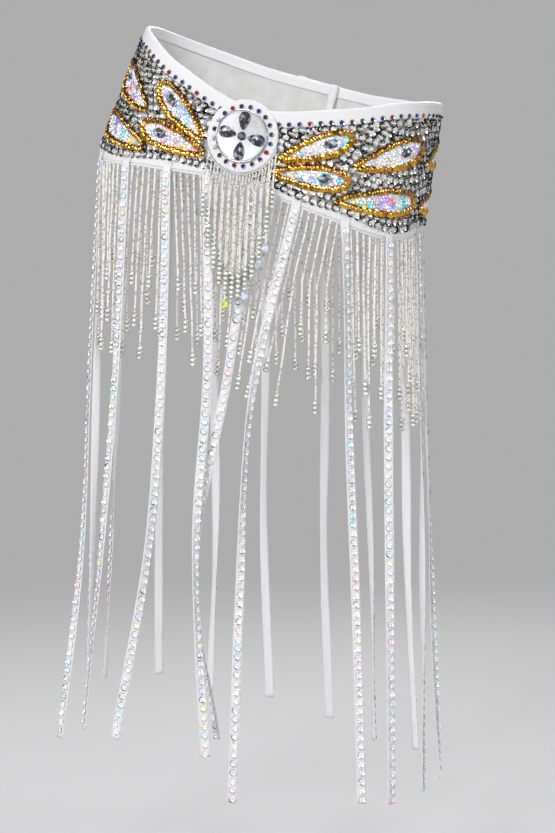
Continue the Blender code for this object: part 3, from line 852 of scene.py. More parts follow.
# %% Ground sequins
GROUND_PITCH, GROUND_ROW = 0.0082, 0.0073
GROUND_SHAKE, GROUND_WANDER = 0.0007, 0.0016
BAND_TALLEST = 0.16
LEAF_CLEAR, TOP_CLEAR = 0.0016, 0.0030
CUP_LIFT, FIRST_ROW_LIFT = 0.0004, 0.0012
CUP_LEAN = math.radians(9)
BAR_LENGTH, BAR_RADIUS = 0.0060, 0.00082
BAR_SHIFT, BAR_LIFT = 0.0019, 0.0012
MEDALLION_HEIGHT, MEDALLION_CLEAR = 0.0495, 0.0405
COVERED_FROM = 2 * HALF_ROUND - BAND_HALF_LENGTH
LAST_CUP = {-1: COVERED_FROM - 0.0065, 1: BAND_HALF_LENGTH - END_LEG - 0.0045}
shake = random.Random(11)


def silver_tint():
    grey = shake.choice((0.50, 0.74, 0.88, 0.96))
    warm = shake.uniform(-0.03, 0.03)
    return (grey + warm, grey, grey - warm)


def bar_tint():
    level = shake.uniform(0.75, 0.98)
    return (level, level * 0.97, level * 0.90)


def tilted(turn, amount):
    """The turn with a small random lean added."""
    lean = Quaternion((1, 0, 0), shake.uniform(-amount, amount))
    return turn @ lean @ Quaternion((0, 1, 0), shake.uniform(-amount, amount))


def ground_places(side):
    """Places of the cups of one half, and of the bars that hold them down."""
    places, bars = [], []
    row = 0
    rise = GROUND_ROW / 2
    while rise < BAND_TALLEST:
        column = 0.0
        while column < LAST_CUP[side]:
            aside = shake.uniform(-GROUND_SHAKE, GROUND_SHAKE)
            distance = side * (column + (row % 2) * GROUND_PITCH / 2 + aside)
            wander = GROUND_WANDER * math.sin(distance * 60.0 + row)
            height = hem_at(distance) + HEM_LEG + rise + wander - GROUND_ROW / 2
            column += GROUND_PITCH
            highest = top_at(distance) - TOP_FRONT - TOP_CLEAR
            if height > highest + GROUND_ROW * 0.75 or abs(distance) > LAST_CUP[side]:
                continue
            height = min(height, highest)
            if math.hypot(distance, height - MEDALLION_HEIGHT) < MEDALLION_CLEAR:
                continue
            if in_any_leaf(distance, height, LEAF_CLEAR):
                continue
            lift = CUP_LIFT + (FIRST_ROW_LIFT if row == 0 else 0.0)
            point = cloth(distance, height, lift + shake.uniform(0.0, 0.0004))
            out = cloth_out(distance, height)
            along = cloth_along(distance, height) * side * (1 if shake.random() < 0.88 else -1)
            flat = facing(out, along) @ Quaternion((0, 0, 1), shake.uniform(-0.45, 0.45))
            lean = Quaternion((0, 1, 0), CUP_LEAN + shake.uniform(-0.10, 0.10))
            places.append((point, tilted(flat @ lean, 0.12), FULL_SIZE, silver_tint()))
            shift = flat @ Vector((BAR_SHIFT, 0.0, 0.0))
            bars.append((point + out * BAR_LIFT + shift, flat, FULL_SIZE, bar_tint()))
        rise += GROUND_ROW
        row += 1
    return places, bars


SEED_BAR = capsule_template("seed_bar_template", BAR_LENGTH, BAR_RADIUS, SEED_BEAD)
for side, label in SIDES:
    places, bars = ground_places(side)
    seat(scatter(f"silver_sequins_{label}", SILVER_CUP, places), "sequin_cloth")
    seat(scatter(f"sequin_bars_{label}", SEED_BAR, bars), "sequin_cloth")

# %% [markdown]
# ## Gold cords
#
# Each leaf is drawn by gold cup sequins threaded close, hollow side down, so that they make a
# ribbed cord like fish scales. Each leans on the one before it, over a gold thread coloured dark as
# painted shade, so the gaps between the scales look shaded.

# %% Gold cords
CORD_PITCH, CORD_OUT = 0.0033, 0.0028
CORD_LEAN, CORD_SLANT = math.radians(52), math.radians(24)
CORD_SIZES = (1.02, 1.20)
BED_RADIUS, BED_STEPS = 0.0012, 150


def egg(leaf, turn):
    """A point of a leaf's outline, in leaf coordinates."""
    x = -leaf[LENGTH] / 2 * math.cos(turn)
    return x, leaf[WIDTH] / 2 * math.sin(turn) * (1 - LEAF_TAPER * math.cos(turn))


def outline_points(leaf, side, steps=400):
    """Points at an even pitch along a leaf's outline, as distance and height."""
    turns = [2 * math.pi * i / steps for i in range(steps)]
    raw = [leaf_to_band(leaf, side, *egg(leaf, turn)) for turn in turns]
    raw.append(raw[0])
    lengths = [0.0]
    for (d0, h0), (d1, h1) in zip(raw, raw[1:]):
        lengths.append(lengths[-1] + math.hypot(d1 - d0, h1 - h0))
    count = round(lengths[-1] / CORD_PITCH)
    points, k = [], 0
    for i in range(count):
        target = lengths[-1] * i / count
        while lengths[k + 1] < target:
            k += 1
        share = (target - lengths[k]) / (lengths[k + 1] - lengths[k])
        points.append([a + (b - a) * share for a, b in zip(raw[k], raw[k + 1])])
    return points


# Some scales are darker: partly random tone, partly painted shade in the gaps between them.
def gold_tint():
    level = shake.choice((0.40, 0.62, 0.85, 1.0, 1.0))
    return (0.82 * level, shake.uniform(0.40, 0.49) * level, shake.uniform(0.06, 0.13) * level)


def cord_bed(name, leaf, side):
    """The thread under a cord, dark as painted shade for the gaps: a grid rolled into a ring of round
    section.
    """
    bm = bmesh.new()
    bmesh.ops.create_grid(bm, x_segments=BED_STEPS, y_segments=6, size=0.5)
    for vert in bm.verts:
        turn, roll = 2 * math.pi * (vert.co.x + 0.5), 2 * math.pi * (vert.co.y + 0.5)
        x, y = egg(leaf, turn)
        reach = 1 + BED_RADIUS * math.cos(roll) / max(math.hypot(x, y), BED_RADIUS)
        wide, high = leaf_to_band(leaf, side, x * reach, y * reach)
        vert.co = cloth(wide, high, BED_RADIUS * (1.1 + math.sin(roll)))
    bmesh.ops.remove_doubles(bm, verts=bm.verts, dist=1e-5)
    bmesh.ops.recalc_face_normals(bm, faces=bm.faces)
    return from_bmesh(name, bm, GOLD_THREAD_AND_SHADE)


for leaf in LEAF_TABLE:
    for side, label in SIDES:
        points = outline_points(leaf, side)
        places = []
        for i, (distance, height) in enumerate(points):
            after = points[(i + 1) % len(points)]
            point = cloth(distance, height, CORD_OUT)
            heading = (cloth(*after, CORD_OUT) - point).normalized()
            out = cloth_out(distance, height)
            heading = Quaternion(out, CORD_SLANT) @ heading
            axis = heading * math.cos(CORD_LEAN) + out * math.sin(CORD_LEAN)
            turn = tilted(facing(axis, out), 0.20)
            size = shake.uniform(*CORD_SIZES)
            places.append((point, turn, (size, size, size), gold_tint()))
        cord = scatter(f"gold_cord_{label}_{leaf[NAME]}", GOLD_SCALE, places)
        seat(cord, "gold_cord", f"leaf_{label}_{leaf[NAME]}")
        seat(cord_bed(f"cord_bed_{label}_{leaf[NAME]}", leaf, side), "gold_cord")

# %% [markdown]
# ## Leaf fillings
#
# Inside the cords lie small pearly sequins, whose pale, pink, blue, violet and gold tints gather in
# small patches; the many white ones are partly pale sequins and partly painted highlights. In the
# wide part of most leaves lies a dark pear-shaped stone on silver foil. A cut stone is an outline
# that is extruded to its girdle and then twice more, higher and smaller each time, with its sloping
# faces poked into triangles so that each facet catches its own light.

# %% Pearly sequins
PEARL_PITCH, PEARL_PATCH, PEARL_CLEAR = 0.0041, 0.009, 0.0030
PEARL_TINTS = (
    (0.98, 0.98, 1.00), (0.98, 0.99, 1.00), (0.97, 0.97, 0.95), (0.95, 0.97, 1.00), (0.98, 0.99, 1.00),
    (0.30, 0.82, 0.98), (0.42, 0.90, 0.96), (1.00, 0.45, 0.62), (0.98, 0.60, 0.70), (0.42, 0.48, 1.00),
    (0.50, 0.66, 1.00), (0.74, 0.56, 0.98), (1.00, 0.80, 0.32), (0.50, 0.53, 0.58), (0.98, 0.98, 0.98),
    (0.97, 0.98, 1.00), (0.80, 0.82, 0.86),
)
# The white tints stand partly for pale sequins and partly for white flashes of light: painted highlights.
WHITE_TINTS = 5
COLOUR_SHARES = {"side_lower": 1.0, "front_lower": 0.85}
USUAL_SHARE = 0.68
STONE_LEAVES = [leaf for leaf in LEAF_TABLE if leaf[NAME] != "side_lower"]
STONE_PLACE = 0.19
STONE_LENGTH, STONE_WIDTH = 0.0165, 0.0092


def stone_centre(leaf):
    return leaf[LENGTH] * STONE_PLACE


def pearl_places(leaf, side):
    """Places of the small sequins of one leaf, clear of its outline and its stone."""
    places, patches = [], {}
    rows = int(leaf[WIDTH] / PEARL_PITCH) + 2
    columns = int(leaf[LENGTH] / PEARL_PITCH) + 2
    for row in range(-rows, rows + 1):
        for column in range(-columns, columns + 1):
            x = (column + 0.5 * (row % 2)) * PEARL_PITCH + shake.uniform(-0.0006, 0.0006)
            y = row * PEARL_PITCH * 0.86 + shake.uniform(-0.0005, 0.0005)
            if leaf_depth(leaf, x, y, -PEARL_CLEAR) > 1:
                continue
            near = math.hypot((x - stone_centre(leaf)) / STONE_LENGTH, y / STONE_WIDTH)
            if leaf in STONE_LEAVES and near < 0.52:
                continue
            distance, height = leaf_to_band(leaf, side, x, y)
            point = cloth(distance, height, CUP_LIFT + shake.uniform(0.0, 0.0005))
            turn = tilted(lying(distance, height), 0.22)
            spot = (int(x / PEARL_PATCH), int(y / PEARL_PATCH))
            patch = patches.setdefault(spot, shake.choice(PEARL_TINTS))
            tint = patch if shake.random() < 0.6 else shake.choice(PEARL_TINTS)
            if shake.random() > COLOUR_SHARES.get(leaf[NAME], USUAL_SHARE):
                tint = shake.choice(PEARL_TINTS[:WHITE_TINTS])
            places.append((point, turn, FULL_SIZE, tint))
    return places


for side, label in SIDES:
    places = []
    for leaf in LEAF_TABLE:
        places += pearl_places(leaf, side)
    seat(scatter(f"pearl_sequins_{label}", PEARL_CUP, places), "crystal")


# %% Cut stones
STONE_CUTS = ((1.0, 0.25), (0.74, 0.45), (0.62, 0.30))


def cut_stone(name, length, width, taper, sides, height, material, cuts=STONE_CUTS):
    """A pear or round stone on its flat back, with its fat end towards +X."""
    bm = bmesh.new()
    bmesh.ops.create_circle(bm, cap_ends=True, segments=sides, radius=1.0)
    for vert in bm.verts:
        x, y = vert.co.x, vert.co.y
        vert.co = Vector((x * length / 2, y * width / 2 * (1 + taper * x), 0.0))
    centre = Matrix.Translation((-length * taper * 0.2, 0.0, 0.0))
    top, slopes = list(bm.faces), []
    for shrink, rise in cuts:
        before = set(bm.faces)
        grown = bmesh.ops.extrude_face_region(bm, geom=top)["geom"]
        top = [item for item in grown if isinstance(item, bmesh.types.BMFace)]
        verts = [item for item in grown if isinstance(item, bmesh.types.BMVert)]
        bmesh.ops.translate(bm, vec=(0.0, 0.0, height * rise), verts=verts)
        bmesh.ops.scale(bm, vec=(shrink, shrink, 1.0), space=centre, verts=verts)
        if shrink < 1:
            slopes += [face for face in set(bm.faces) - before if face not in top]
    bm.faces.index_update()
    bmesh.ops.poke(bm, faces=sorted(slopes, key=lambda face: face.index), offset=width * 0.008)
    bmesh.ops.poke(bm, faces=top, offset=height * 0.16)
    bmesh.ops.recalc_face_normals(bm, faces=bm.faces)
    return from_bmesh(name, bm, material, smooth=False)


PEAR = cut_stone("pear_template", STONE_LENGTH, STONE_WIDTH, 0.30, 14, 0.0032, CUT_STONE)
PEAR_TINT = (0.15, 0.16, 0.19)
places = []
for leaf in STONE_LEAVES:
    for side, label in SIDES:
        distance, height = leaf_to_band(leaf, side, stone_centre(leaf), 0.0)
        ahead = leaf_to_band(leaf, side, stone_centre(leaf) + 0.004, 0.0)
        heading = cloth(*ahead) - cloth(distance, height)
        turn = facing(cloth_out(distance, height), heading)
        places.append((cloth(distance, height, SEAM), turn, FULL_SIZE, PEAR_TINT))
seat(scatter("leaf_stones", PEAR, places), "crystal")

# %% [markdown]
# ## The medallion
#
# A padded disc covered in white satin carries a white dish with a silvered rim. Four pear-shaped
# stones make a flower in the dish, round a small round one. The disc is spun from a soft profile,
# and its rim gets the little gathers that cloth makes when it is pulled round a curve. The dish
# gleams in wedges, so their brightness is painted round it as a colour on its points.

# %% Medallion frame and disc
DISC_SEAT = TRIM_WALL + 2 * SEAM
DISC_RADIUS, DISC_WALL = 0.039, 0.0040
DISC_TOP = ((0.0335, 0.0043), (0.030, 0.0042), (0.0, 0.0040))
DISC_STEPS, SPIN_STEPS = 240, 96
GATHERS, GATHER_DEPTH = 37, 0.0006
GATHER_START, GATHER_RUN = 0.0315, 0.006


def medallion_frame():
    """Local X runs along the belt, Y up the band and Z straight out."""
    out, across = cloth_out(0.0, MEDALLION_HEIGHT), cloth_along(0.0)
    axes = Matrix((across, out.cross(across).normalized(), out)).transposed().to_4x4()
    return Matrix.Translation(cloth(0.0, MEDALLION_HEIGHT, DISC_SEAT)) @ axes


MEDALLION = medallion_frame()
MEDALLION_TURN = MEDALLION.to_quaternion()


def spun(profile, steps=SPIN_STEPS):
    """A bmesh turned round Z from pairs of radius and height."""
    bm = bmesh.new()
    verts = [bm.verts.new((radius, 0.0, height)) for radius, height in profile]
    edges = [bm.edges.new(pair) for pair in zip(verts, verts[1:])]
    bmesh.ops.spin(
        bm, geom=verts + edges, axis=(0, 0, 1), cent=(0, 0, 0), angle=2 * math.pi, steps=steps,
        use_merge=True,
    )
    bmesh.ops.remove_doubles(bm, verts=bm.verts, dist=1e-6)
    bmesh.ops.recalc_face_normals(bm, faces=bm.faces)
    return bm


def round_edge(radius, low, high, steps=6):
    """The half round of a soft rim between two heights."""
    half = (high - low) / 2
    turns = [math.pi * (i / steps - 0.5) for i in range(steps + 1)]
    return [(radius - half + half * math.cos(t), low + half + half * math.sin(t)) for t in turns]


def on_medallion(name, bm, material):
    """One object from a bmesh in the medallion's own frame."""
    bmesh.ops.transform(bm, matrix=MEDALLION, verts=bm.verts)
    return from_bmesh(name, bm, material)


bm = spun([(0.0, 0.0), (0.020, 0.0), *round_edge(DISC_RADIUS, 0.0, DISC_WALL), *DISC_TOP], DISC_STEPS)
for vert in bm.verts:
    radius = math.hypot(vert.co.x, vert.co.y)
    around = math.atan2(vert.co.y, vert.co.x)
    wave = math.sin(GATHERS * around + 2.5 * math.sin(5 * around))
    if vert.co.z > DISC_WALL / 2:
        vert.co.z += eased((radius - GATHER_START) / GATHER_RUN) * GATHER_DEPTH * wave
disc = on_medallion("medallion_satin_pad", bm, WHITE_SATIN)
seat(disc, "satin", "medallion_pad")
print("disc", len(disc.data.polygons), "faces, at", MEDALLION.translation)

# %% Dish and rim
DISH_RADIUS, DISH_WALL, DISH_RIM = 0.0285, 0.0030, 0.0016
DISH_SEAT = DISC_WALL + SEAM
DISH_FLOOR = DISH_SEAT + 0.0010
RIM_TOP = DISH_SEAT + DISH_WALL
# Degrees round the dish, brightness.
GLEAM_TABLE = (
    (0.0, 0.60), (40.0, 0.55), (75.0, 0.57), (100.0, 0.62), (118.0, 0.78), (158.0, 0.84), (180.0, 0.72),
    (200.0, 0.82), (248.0, 0.78), (276.0, 0.64), (310.0, 0.60), (340.0, 0.64), (360.0, 0.60),
)
dish_profile = [
    (0.0, DISH_SEAT),
    (DISH_RADIUS - DISH_RIM, DISH_SEAT),
    (DISH_RADIUS - DISH_RIM, DISH_FLOOR + 0.0009),
    (DISH_RADIUS - 0.0026, DISH_FLOOR + 0.0003),
    (DISH_RADIUS - 0.0045, DISH_FLOOR),
    (0.0, DISH_FLOOR + 0.0002),
]
dish = on_medallion("medallion_plate", spun(dish_profile), DISH_WHITE)
gleam = dish.data.attributes.new("tint", "FLOAT_COLOR", "POINT")
inverse = MEDALLION.inverted()
for i, vert in enumerate(dish.data.vertices):
    here = inverse @ vert.co
    level = table_value(GLEAM_TABLE, math.degrees(math.atan2(here.y, here.x)) % 360)
    gleam.data[i].color = (level * 0.985, level * 0.985, min(1.0, level * 1.03), 1.0)
seat(dish, "dish", "medallion_dish")

half = DISH_RIM / 2
turns = [2 * math.pi * i / 12 for i in range(12)]
ring = [(DISH_RADIUS - half + half * math.cos(t), RIM_TOP - half + half * math.sin(t)) for t in turns]
stem = [(r, h if h > RIM_TOP - half else DISH_SEAT) for r, h in ring]
seat(on_medallion("medallion_rim", spun(stem + stem[:1]), SILVER_RIM), "dish")
print("above the back of the disc: dish floor", round(DISH_FLOOR, 4), "rim", round(RIM_TOP, 4))

# %% Petals and centre
PETAL_MIDDLE = 0.0162
PETAL_TURNS = (0.0, 96.0, 180.0, 276.0)
PETAL_TINT, BUTTON_TINT = (0.12, 0.125, 0.145), (0.055, 0.058, 0.068)
PETAL = cut_stone("petal_template", 0.0196, 0.0116, 0.40, 18, 0.0036, CUT_STONE)
BUTTON = cut_stone("button_template", 0.0096, 0.0096, 0.0, 12, 0.0030, CUT_STONE)
petals = []
for degrees in PETAL_TURNS:
    turn = Quaternion((0, 0, 1), math.radians(degrees))
    spot = turn @ Vector((PETAL_MIDDLE, 0.0, DISH_FLOOR + SEAM))
    petals.append((MEDALLION @ spot, MEDALLION_TURN @ turn, FULL_SIZE, PETAL_TINT))
stones = scatter("medallion_petals", PETAL, petals)
seat(stones, "crystal", "petal_stone_right", "petal_stone_top", "petal_stone_left", "petal_stone_bottom")
centre = [(MEDALLION @ Vector((0, 0, DISH_FLOOR + SEAM)), MEDALLION_TURN, FULL_SIZE, BUTTON_TINT)]
seat(scatter("medallion_centre", BUTTON, centre), "crystal", "centre_stone")

# %% [markdown]
# ## Rhinestones
#
# Small coloured stones run round the disc and in one line along the top binding, each on a small
# pale cup. Along the binding the order of the colours repeats: green, purple, blue, red.

# %% Coloured stones
RED, BLUE = (0.38, 0.005, 0.012), (0.010, 0.025, 0.30)
PURPLE, GREEN = (0.065, 0.005, 0.115), (0.006, 0.090, 0.052)
CLEAR, DARK_GREEN = (0.75, 0.76, 0.80), (0.01, 0.05, 0.03)
ROUND_CUTS = ((1.0, 0.20), (0.66, 0.50), (0.50, 0.30))
STONE = cut_stone("rhinestone_template", 0.0042, 0.0042, 0.0, 10, 0.0020, RHINESTONE, ROUND_CUTS)
STONE_CUP = cup_template("stone_cup_template", 0.0029, 0.0006, 10, SILVER_SEQUIN, FLAT_CUP)
RING_RADIUS = 0.0317
CUP_SHIFT = Vector((0.0007, -0.0003, -0.0004))
RING_COLOURS = (
    GREEN, BLUE, DARK_GREEN, PURPLE, GREEN, BLUE, RED, PURPLE, DARK_GREEN, BLUE,
    RED, PURPLE, GREEN, CLEAR, CLEAR, PURPLE, CLEAR, BLUE, RED, PURPLE,
)
stones, cups = [], []
for i, colour in enumerate(RING_COLOURS):
    angle = math.pi / 2 - 2 * math.pi * i / len(RING_COLOURS)
    spot = Vector((RING_RADIUS * math.cos(angle), RING_RADIUS * math.sin(angle), DISC_WALL + 0.0006))
    stones.append((MEDALLION @ spot, MEDALLION_TURN, FULL_SIZE, colour))
    cups.append((MEDALLION @ (spot + CUP_SHIFT), MEDALLION_TURN, FULL_SIZE, CLEAR))

ROW_START, ROW_PITCH, ROW_DROP = 0.0345, 0.0112, 0.0125
ROW_COLOURS = (GREEN, PURPLE, BLUE, RED)
for side, _ in SIDES:
    for i in range(int((LAST_CUP[side] - ROW_START) / ROW_PITCH) + 1):
        distance = side * (ROW_START + i * ROW_PITCH)
        height = top_at(distance) - ROW_DROP
        turn, colour = lying(distance, height), ROW_COLOURS[i % len(ROW_COLOURS)]
        stones.append((cloth(distance, height, ON_BINDING + 0.0004), turn, FULL_SIZE, colour))
        cups.append((cloth(distance + 0.0007, height, ON_BINDING + 0.0001), turn, FULL_SIZE, CLEAR))
seat(scatter("rhinestones", STONE, stones), "crystal")
seat(scatter("rhinestone_cups", STONE_CUP, cups), "crystal")

# %% [markdown]
# ## The beaded fringe
#
# A string of seed beads hangs from each slot along the hem that has no ribbon, in lengths that
# repeat short, middle, long, and ends in three round silver beads. The medallion has two layers of
# its own, longest in the middle, and four of them end in a crystal drop. A curve with a bevel would
# give a smooth wire, so each bead is a real barrel. The strings start where the frame's strands do.

# %% Bead templates
def barrel_template(name, radius, length, material):
    """A short barrel along Z with closed ends."""
    bm = bmesh.new()
    end = radius * 0.72
    bmesh.ops.create_cone(bm, cap_ends=True, segments=6, radius1=end, radius2=end, depth=length)
    sides = [edge for edge in bm.edges if abs(edge.verts[0].co.z - edge.verts[1].co.z) > length / 2]
    bmesh.ops.subdivide_edges(bm, edges=sides, cuts=1)
    for vert in bm.verts:
        if abs(vert.co.z) < length / 4:
            vert.co = Vector((vert.co.x, vert.co.y, 0.0)).normalized() * radius
    return from_bmesh(name, bm, material)


SEED_RADIUS, SEED_PITCH = 0.00130, 0.00205
BALL_RADIUS, BALL_PITCH = 0.0033, 0.0050
BALL_FLATTENING = 0.76
ACROSS = Vector((1.0, 0.0, 0.0))
SEED = barrel_template("seed_template", SEED_RADIUS, SEED_PITCH * 0.96, SEED_BEAD)
bm = bmesh.new()
bmesh.ops.create_uvsphere(bm, u_segments=12, v_segments=8, radius=BALL_RADIUS)
BALL = from_bmesh("ball_template", bm, SILVER_BEAD)
print("faces of a seed bead", len(SEED.data.polygons), "and of a round bead", len(BALL.data.polygons))

# %% Strand shapes
PITCH = 2 * HALF_ROUND / 126
SIDE_SLOT, OUTER_END_SLOT, INNER_END_SLOT = 33, 66, 60
TAPE_TOP = -2 * SEAM - TRIM_WALL
TAPE_DROP = 0.0025
TAPE_FACES = (-0.0002, -0.0023)
BEND_RUN = 0.070
STRAND_STAGGER = 0.012
STRAND_LENGTHS = (0.128, 0.172, 0.206)
# Distance along the hem, how far strings lean aside above their bend and below it.
LEAN_TABLE = (
    (-0.500, 0.00, 0.00),
    (-0.250, 0.01, 0.00),
    (-0.190, -0.02, -0.01),
    (-0.155, -0.04, -0.03),
    (-0.110, -0.07, -0.05),
    (-0.082, -0.04, -0.04),
    (-0.066, 0.04, 0.03),
    (-0.035, 0.01, 0.00),
    (0.030, -0.14, -0.12),
    (0.070, -0.24, -0.22),
    (0.086, -0.24, -0.20),
    (0.096, -0.22, -0.04),
    (0.120, -0.17, -0.01),
    (0.134, 0.02, 0.02),
    (0.165, -0.03, 0.01),
    (0.185, 0.02, 0.00),
    (0.230, -0.01, 0.00),
    (0.500, 0.00, 0.00),
)
RIBBON_SLOTS = (3, 9, 16, 23, 30, 37, 44, 51, 58)


def seed_tint():
    level = shake.choice((0.60, 0.84, 0.93, 0.97, 0.98))
    return (level, level * 0.965, level * 0.925)


def ball_tint():
    level = shake.uniform(0.74, 0.94)
    return (level * 0.985, level, level * 0.94)


def string_beads(root, fall, length, balls, seeds, rounds):
    """Adds the places of one string: seed beads down to the round ones at its end."""
    def hang(drop):
        here, after = root + fall(drop), root + fall(drop + SEED_PITCH)
        return here, facing((after - here).normalized(), ACROSS)

    wave, phase = shake.uniform(0.0001, 0.00035), shake.uniform(0, 6.28)
    for i in range(int((length - balls * BALL_PITCH) / SEED_PITCH)):
        drop = (i + 0.5) * SEED_PITCH
        here, turn = hang(drop)
        sideways = Vector((wave * math.sin(drop * 90 + phase), 0.0, 0.0)) * eased(drop / 0.02)
        size = shake.uniform(0.92, 1.04)
        seeds.append((here + sideways, turn, (size, size, 1.0), seed_tint()))
    for i in range(balls):
        here, turn = hang(length - (i + 0.5) * BALL_PITCH)
        rounds.append((here, turn, (1.0, 1.0, BALL_FLATTENING), ball_tint()))


def hem_string(side, slot, seeds, rounds):
    """Adds the string of one slot, hung from the middle of its length of tape."""
    ends = [side * step * PITCH for step in (slot, slot + 1)]
    corners = [cloth(at, hem_at(at) + TAPE_TOP - TAPE_DROP, out) for at in ends for out in TAPE_FACES]
    root = sum(corners, Vector()) / 4
    distance = sum(ends) / 2
    upper, lower = (table_value(LEAN_TABLE, distance, column) for column in (1, 2))
    out = level_out(distance)
    length = STRAND_LENGTHS[(slot if side > 0 else -slot - 1) % 3]

    def fall(drop):
        aside = upper * min(drop, BEND_RUN) + lower * max(0.0, drop - BEND_RUN)
        return Vector((aside, 0.0, -drop)) + out * STRAND_STAGGER * (slot % 2) * drop

    string_beads(root, fall, length, 3, seeds, rounds)


print("strings hang every", round(PITCH, 5), "m, but not in slots", RIBBON_SLOTS)

# %% Hem fringe
# Name, side, first slot, slot after the last one.
FRINGE_TABLE = (
    ("right_front", 1, 0, SIDE_SLOT),
    ("right_back", 1, SIDE_SLOT, OUTER_END_SLOT),
    ("left_front", -1, 0, SIDE_SLOT),
    ("left_back", -1, SIDE_SLOT, INNER_END_SLOT),
)
all_rounds = []
for name, side, first, last in FRINGE_TABLE:
    seeds = []
    for slot in range(first, last):
        if slot not in RIBBON_SLOTS:
            hem_string(side, slot, seeds, all_rounds)
    fringe = scatter(f"bead_strings_{name}", SEED, seeds)
    seat(fringe, "beads", f"hem_fringe_{name}")

    def tape_point(along, across, side=side, first=first, last=last):
        distance = side * (first + along * (last - first)) * PITCH
        height = hem_at(distance) + TAPE_TOP - TAPE_DROP * (1 - across if side > 0 else across)
        return cloth(distance, height, -0.0004)

    tape = sheet_piece(f"fringe_tape_{name}", 2 * (last - first), 1, tape_point, 0.0017, WHITE_SATIN)
    seat(tape, "beads")

# %% Medallion fringe
DROP_STRANDS = 22
DROP_TAPE_IN = DISC_RADIUS + SEAM
DROP_TAPE_OUT = DROP_TAPE_IN + 0.0020
DROP_REACH = 0.0386
DROP_SHORT, DROP_LONG = 0.052, 0.122
DROP_LAYERS = (0.0060, 0.0126)
DROP_FACES = (0.0006, 0.0032)
DROP_STAGGER, DROP_BEND = 0.008, 0.024
DROP_AHEAD, DROP_ASIDE = 0.07, -0.03
CRYSTAL_BELOW = 0.0050
ICE, LEMON, SAGE = (0.70, 0.77, 0.94), (0.86, 0.90, 0.26), (0.62, 0.70, 0.80)
# For some strings, the tint of a crystal drop and how much lower than the round beads it hangs.
CRYSTAL_TABLE = {1: (ICE, 0.010), 3: (SAGE, 0.0), 7: (ICE, 0.0), 13: (LEMON, 0.005)}


def rim_point(x, radius, height):
    angle = HIP_TILT - math.acos(x / DROP_TAPE_OUT)
    return MEDALLION @ Vector((radius * math.cos(angle), radius * math.sin(angle), height))


seeds, tips, threads = [], [], []
out = level_out(0.0)
for i in range(DROP_STRANDS):
    edges = [DROP_REACH * (1 - 2 * k / DROP_STRANDS) for k in (i, i + 1)]
    root = sum((rim_point(x, DROP_TAPE_OUT, h) for x in edges for h in DROP_FACES), Vector()) / 4
    share = abs(2 * (i + 0.5) / DROP_STRANDS - 1)
    length = DROP_LONG - (DROP_LONG - DROP_SHORT) * share**2 + DROP_STAGGER * (i % 2)
    clear = DROP_LAYERS[i % 2]

    def fall(drop):
        ahead = clear * eased(drop / DROP_BEND) + DROP_AHEAD * drop
        return out * ahead + Vector((DROP_ASIDE * drop, 0.0, -drop))

    string_beads(root, fall, length, 4 + i % 2, seeds, all_rounds)
    if i in CRYSTAL_TABLE:
        tint, lower = CRYSTAL_TABLE[i]
        tips.append((root + fall(length + CRYSTAL_BELOW + lower), Quaternion(), FULL_SIZE, tint))
        if lower:
            threads.append((root + fall(length), root + fall(length + lower)))
seat(scatter("bead_strings_medallion", SEED, seeds), "beads", "medallion_fringe")


def tape_point(along, across):
    x = DROP_REACH * (2 * along - 1)
    return rim_point(x, DROP_TAPE_IN + 0.0002 + 0.0012 * across, 0.0022)


seat(sheet_piece("medallion_fringe_tape", 60, 1, tape_point, 0.0014, WHITE_SATIN), "beads")

# %% Round beads and crystal drops
seat(scatter("silver_beads", BALL, all_rounds), "beads")
CRYSTAL_WIDTH, CRYSTAL_HEIGHT = 0.0084, 0.0106
LOOP_TINT = (0.9, 0.87, 0.83)
bm = bmesh.new()
bmesh.ops.create_uvsphere(bm, u_segments=8, v_segments=6, radius=1.0)
for vert in bm.verts:
    wide = CRYSTAL_WIDTH / 2 * (1.0 - 0.35 * eased(vert.co.z))
    vert.co = Vector((vert.co.x * wide, vert.co.y * wide, vert.co.z * CRYSTAL_HEIGHT / 2))
DROP = from_bmesh("drop_template", bm, CRYSTAL, smooth=False)
seat(scatter("crystal_drops", DROP, tips), "crystal")
loops = []
for top, bottom in threads:
    count = math.ceil((bottom - top).length / SEED_PITCH)
    turn = facing(top - bottom, ACROSS)
    points = [top.lerp(bottom, (i + 0.5) / count) for i in range(count)]
    loops += [(point, turn, FULL_SIZE, LOOP_TINT) for point in points]
seat(scatter("crystal_loops", SEED, loops), "crystal")

# %% [markdown]
# ## The ribbons
#
# Eighteen narrow satin ribbons are sewn to the hem binding and fall to the knee. They sway and turn
# as they hang, so some show their edge. Each follows the path of its solid, drawn with finer steps,
# and carries one row of pearly cup sequins on its outer face.

# %% Ribbon paths
RIBBON_WIDTH, RIBBON_WALL, RIBBON_CLOTH = 0.0100, 0.0010, 0.0006
RIBBON_SEAT = TRIM_WALL + 2 * SEAM
RIBBON_SEWN = 0.007
TWIST_SPREAD = 0.20
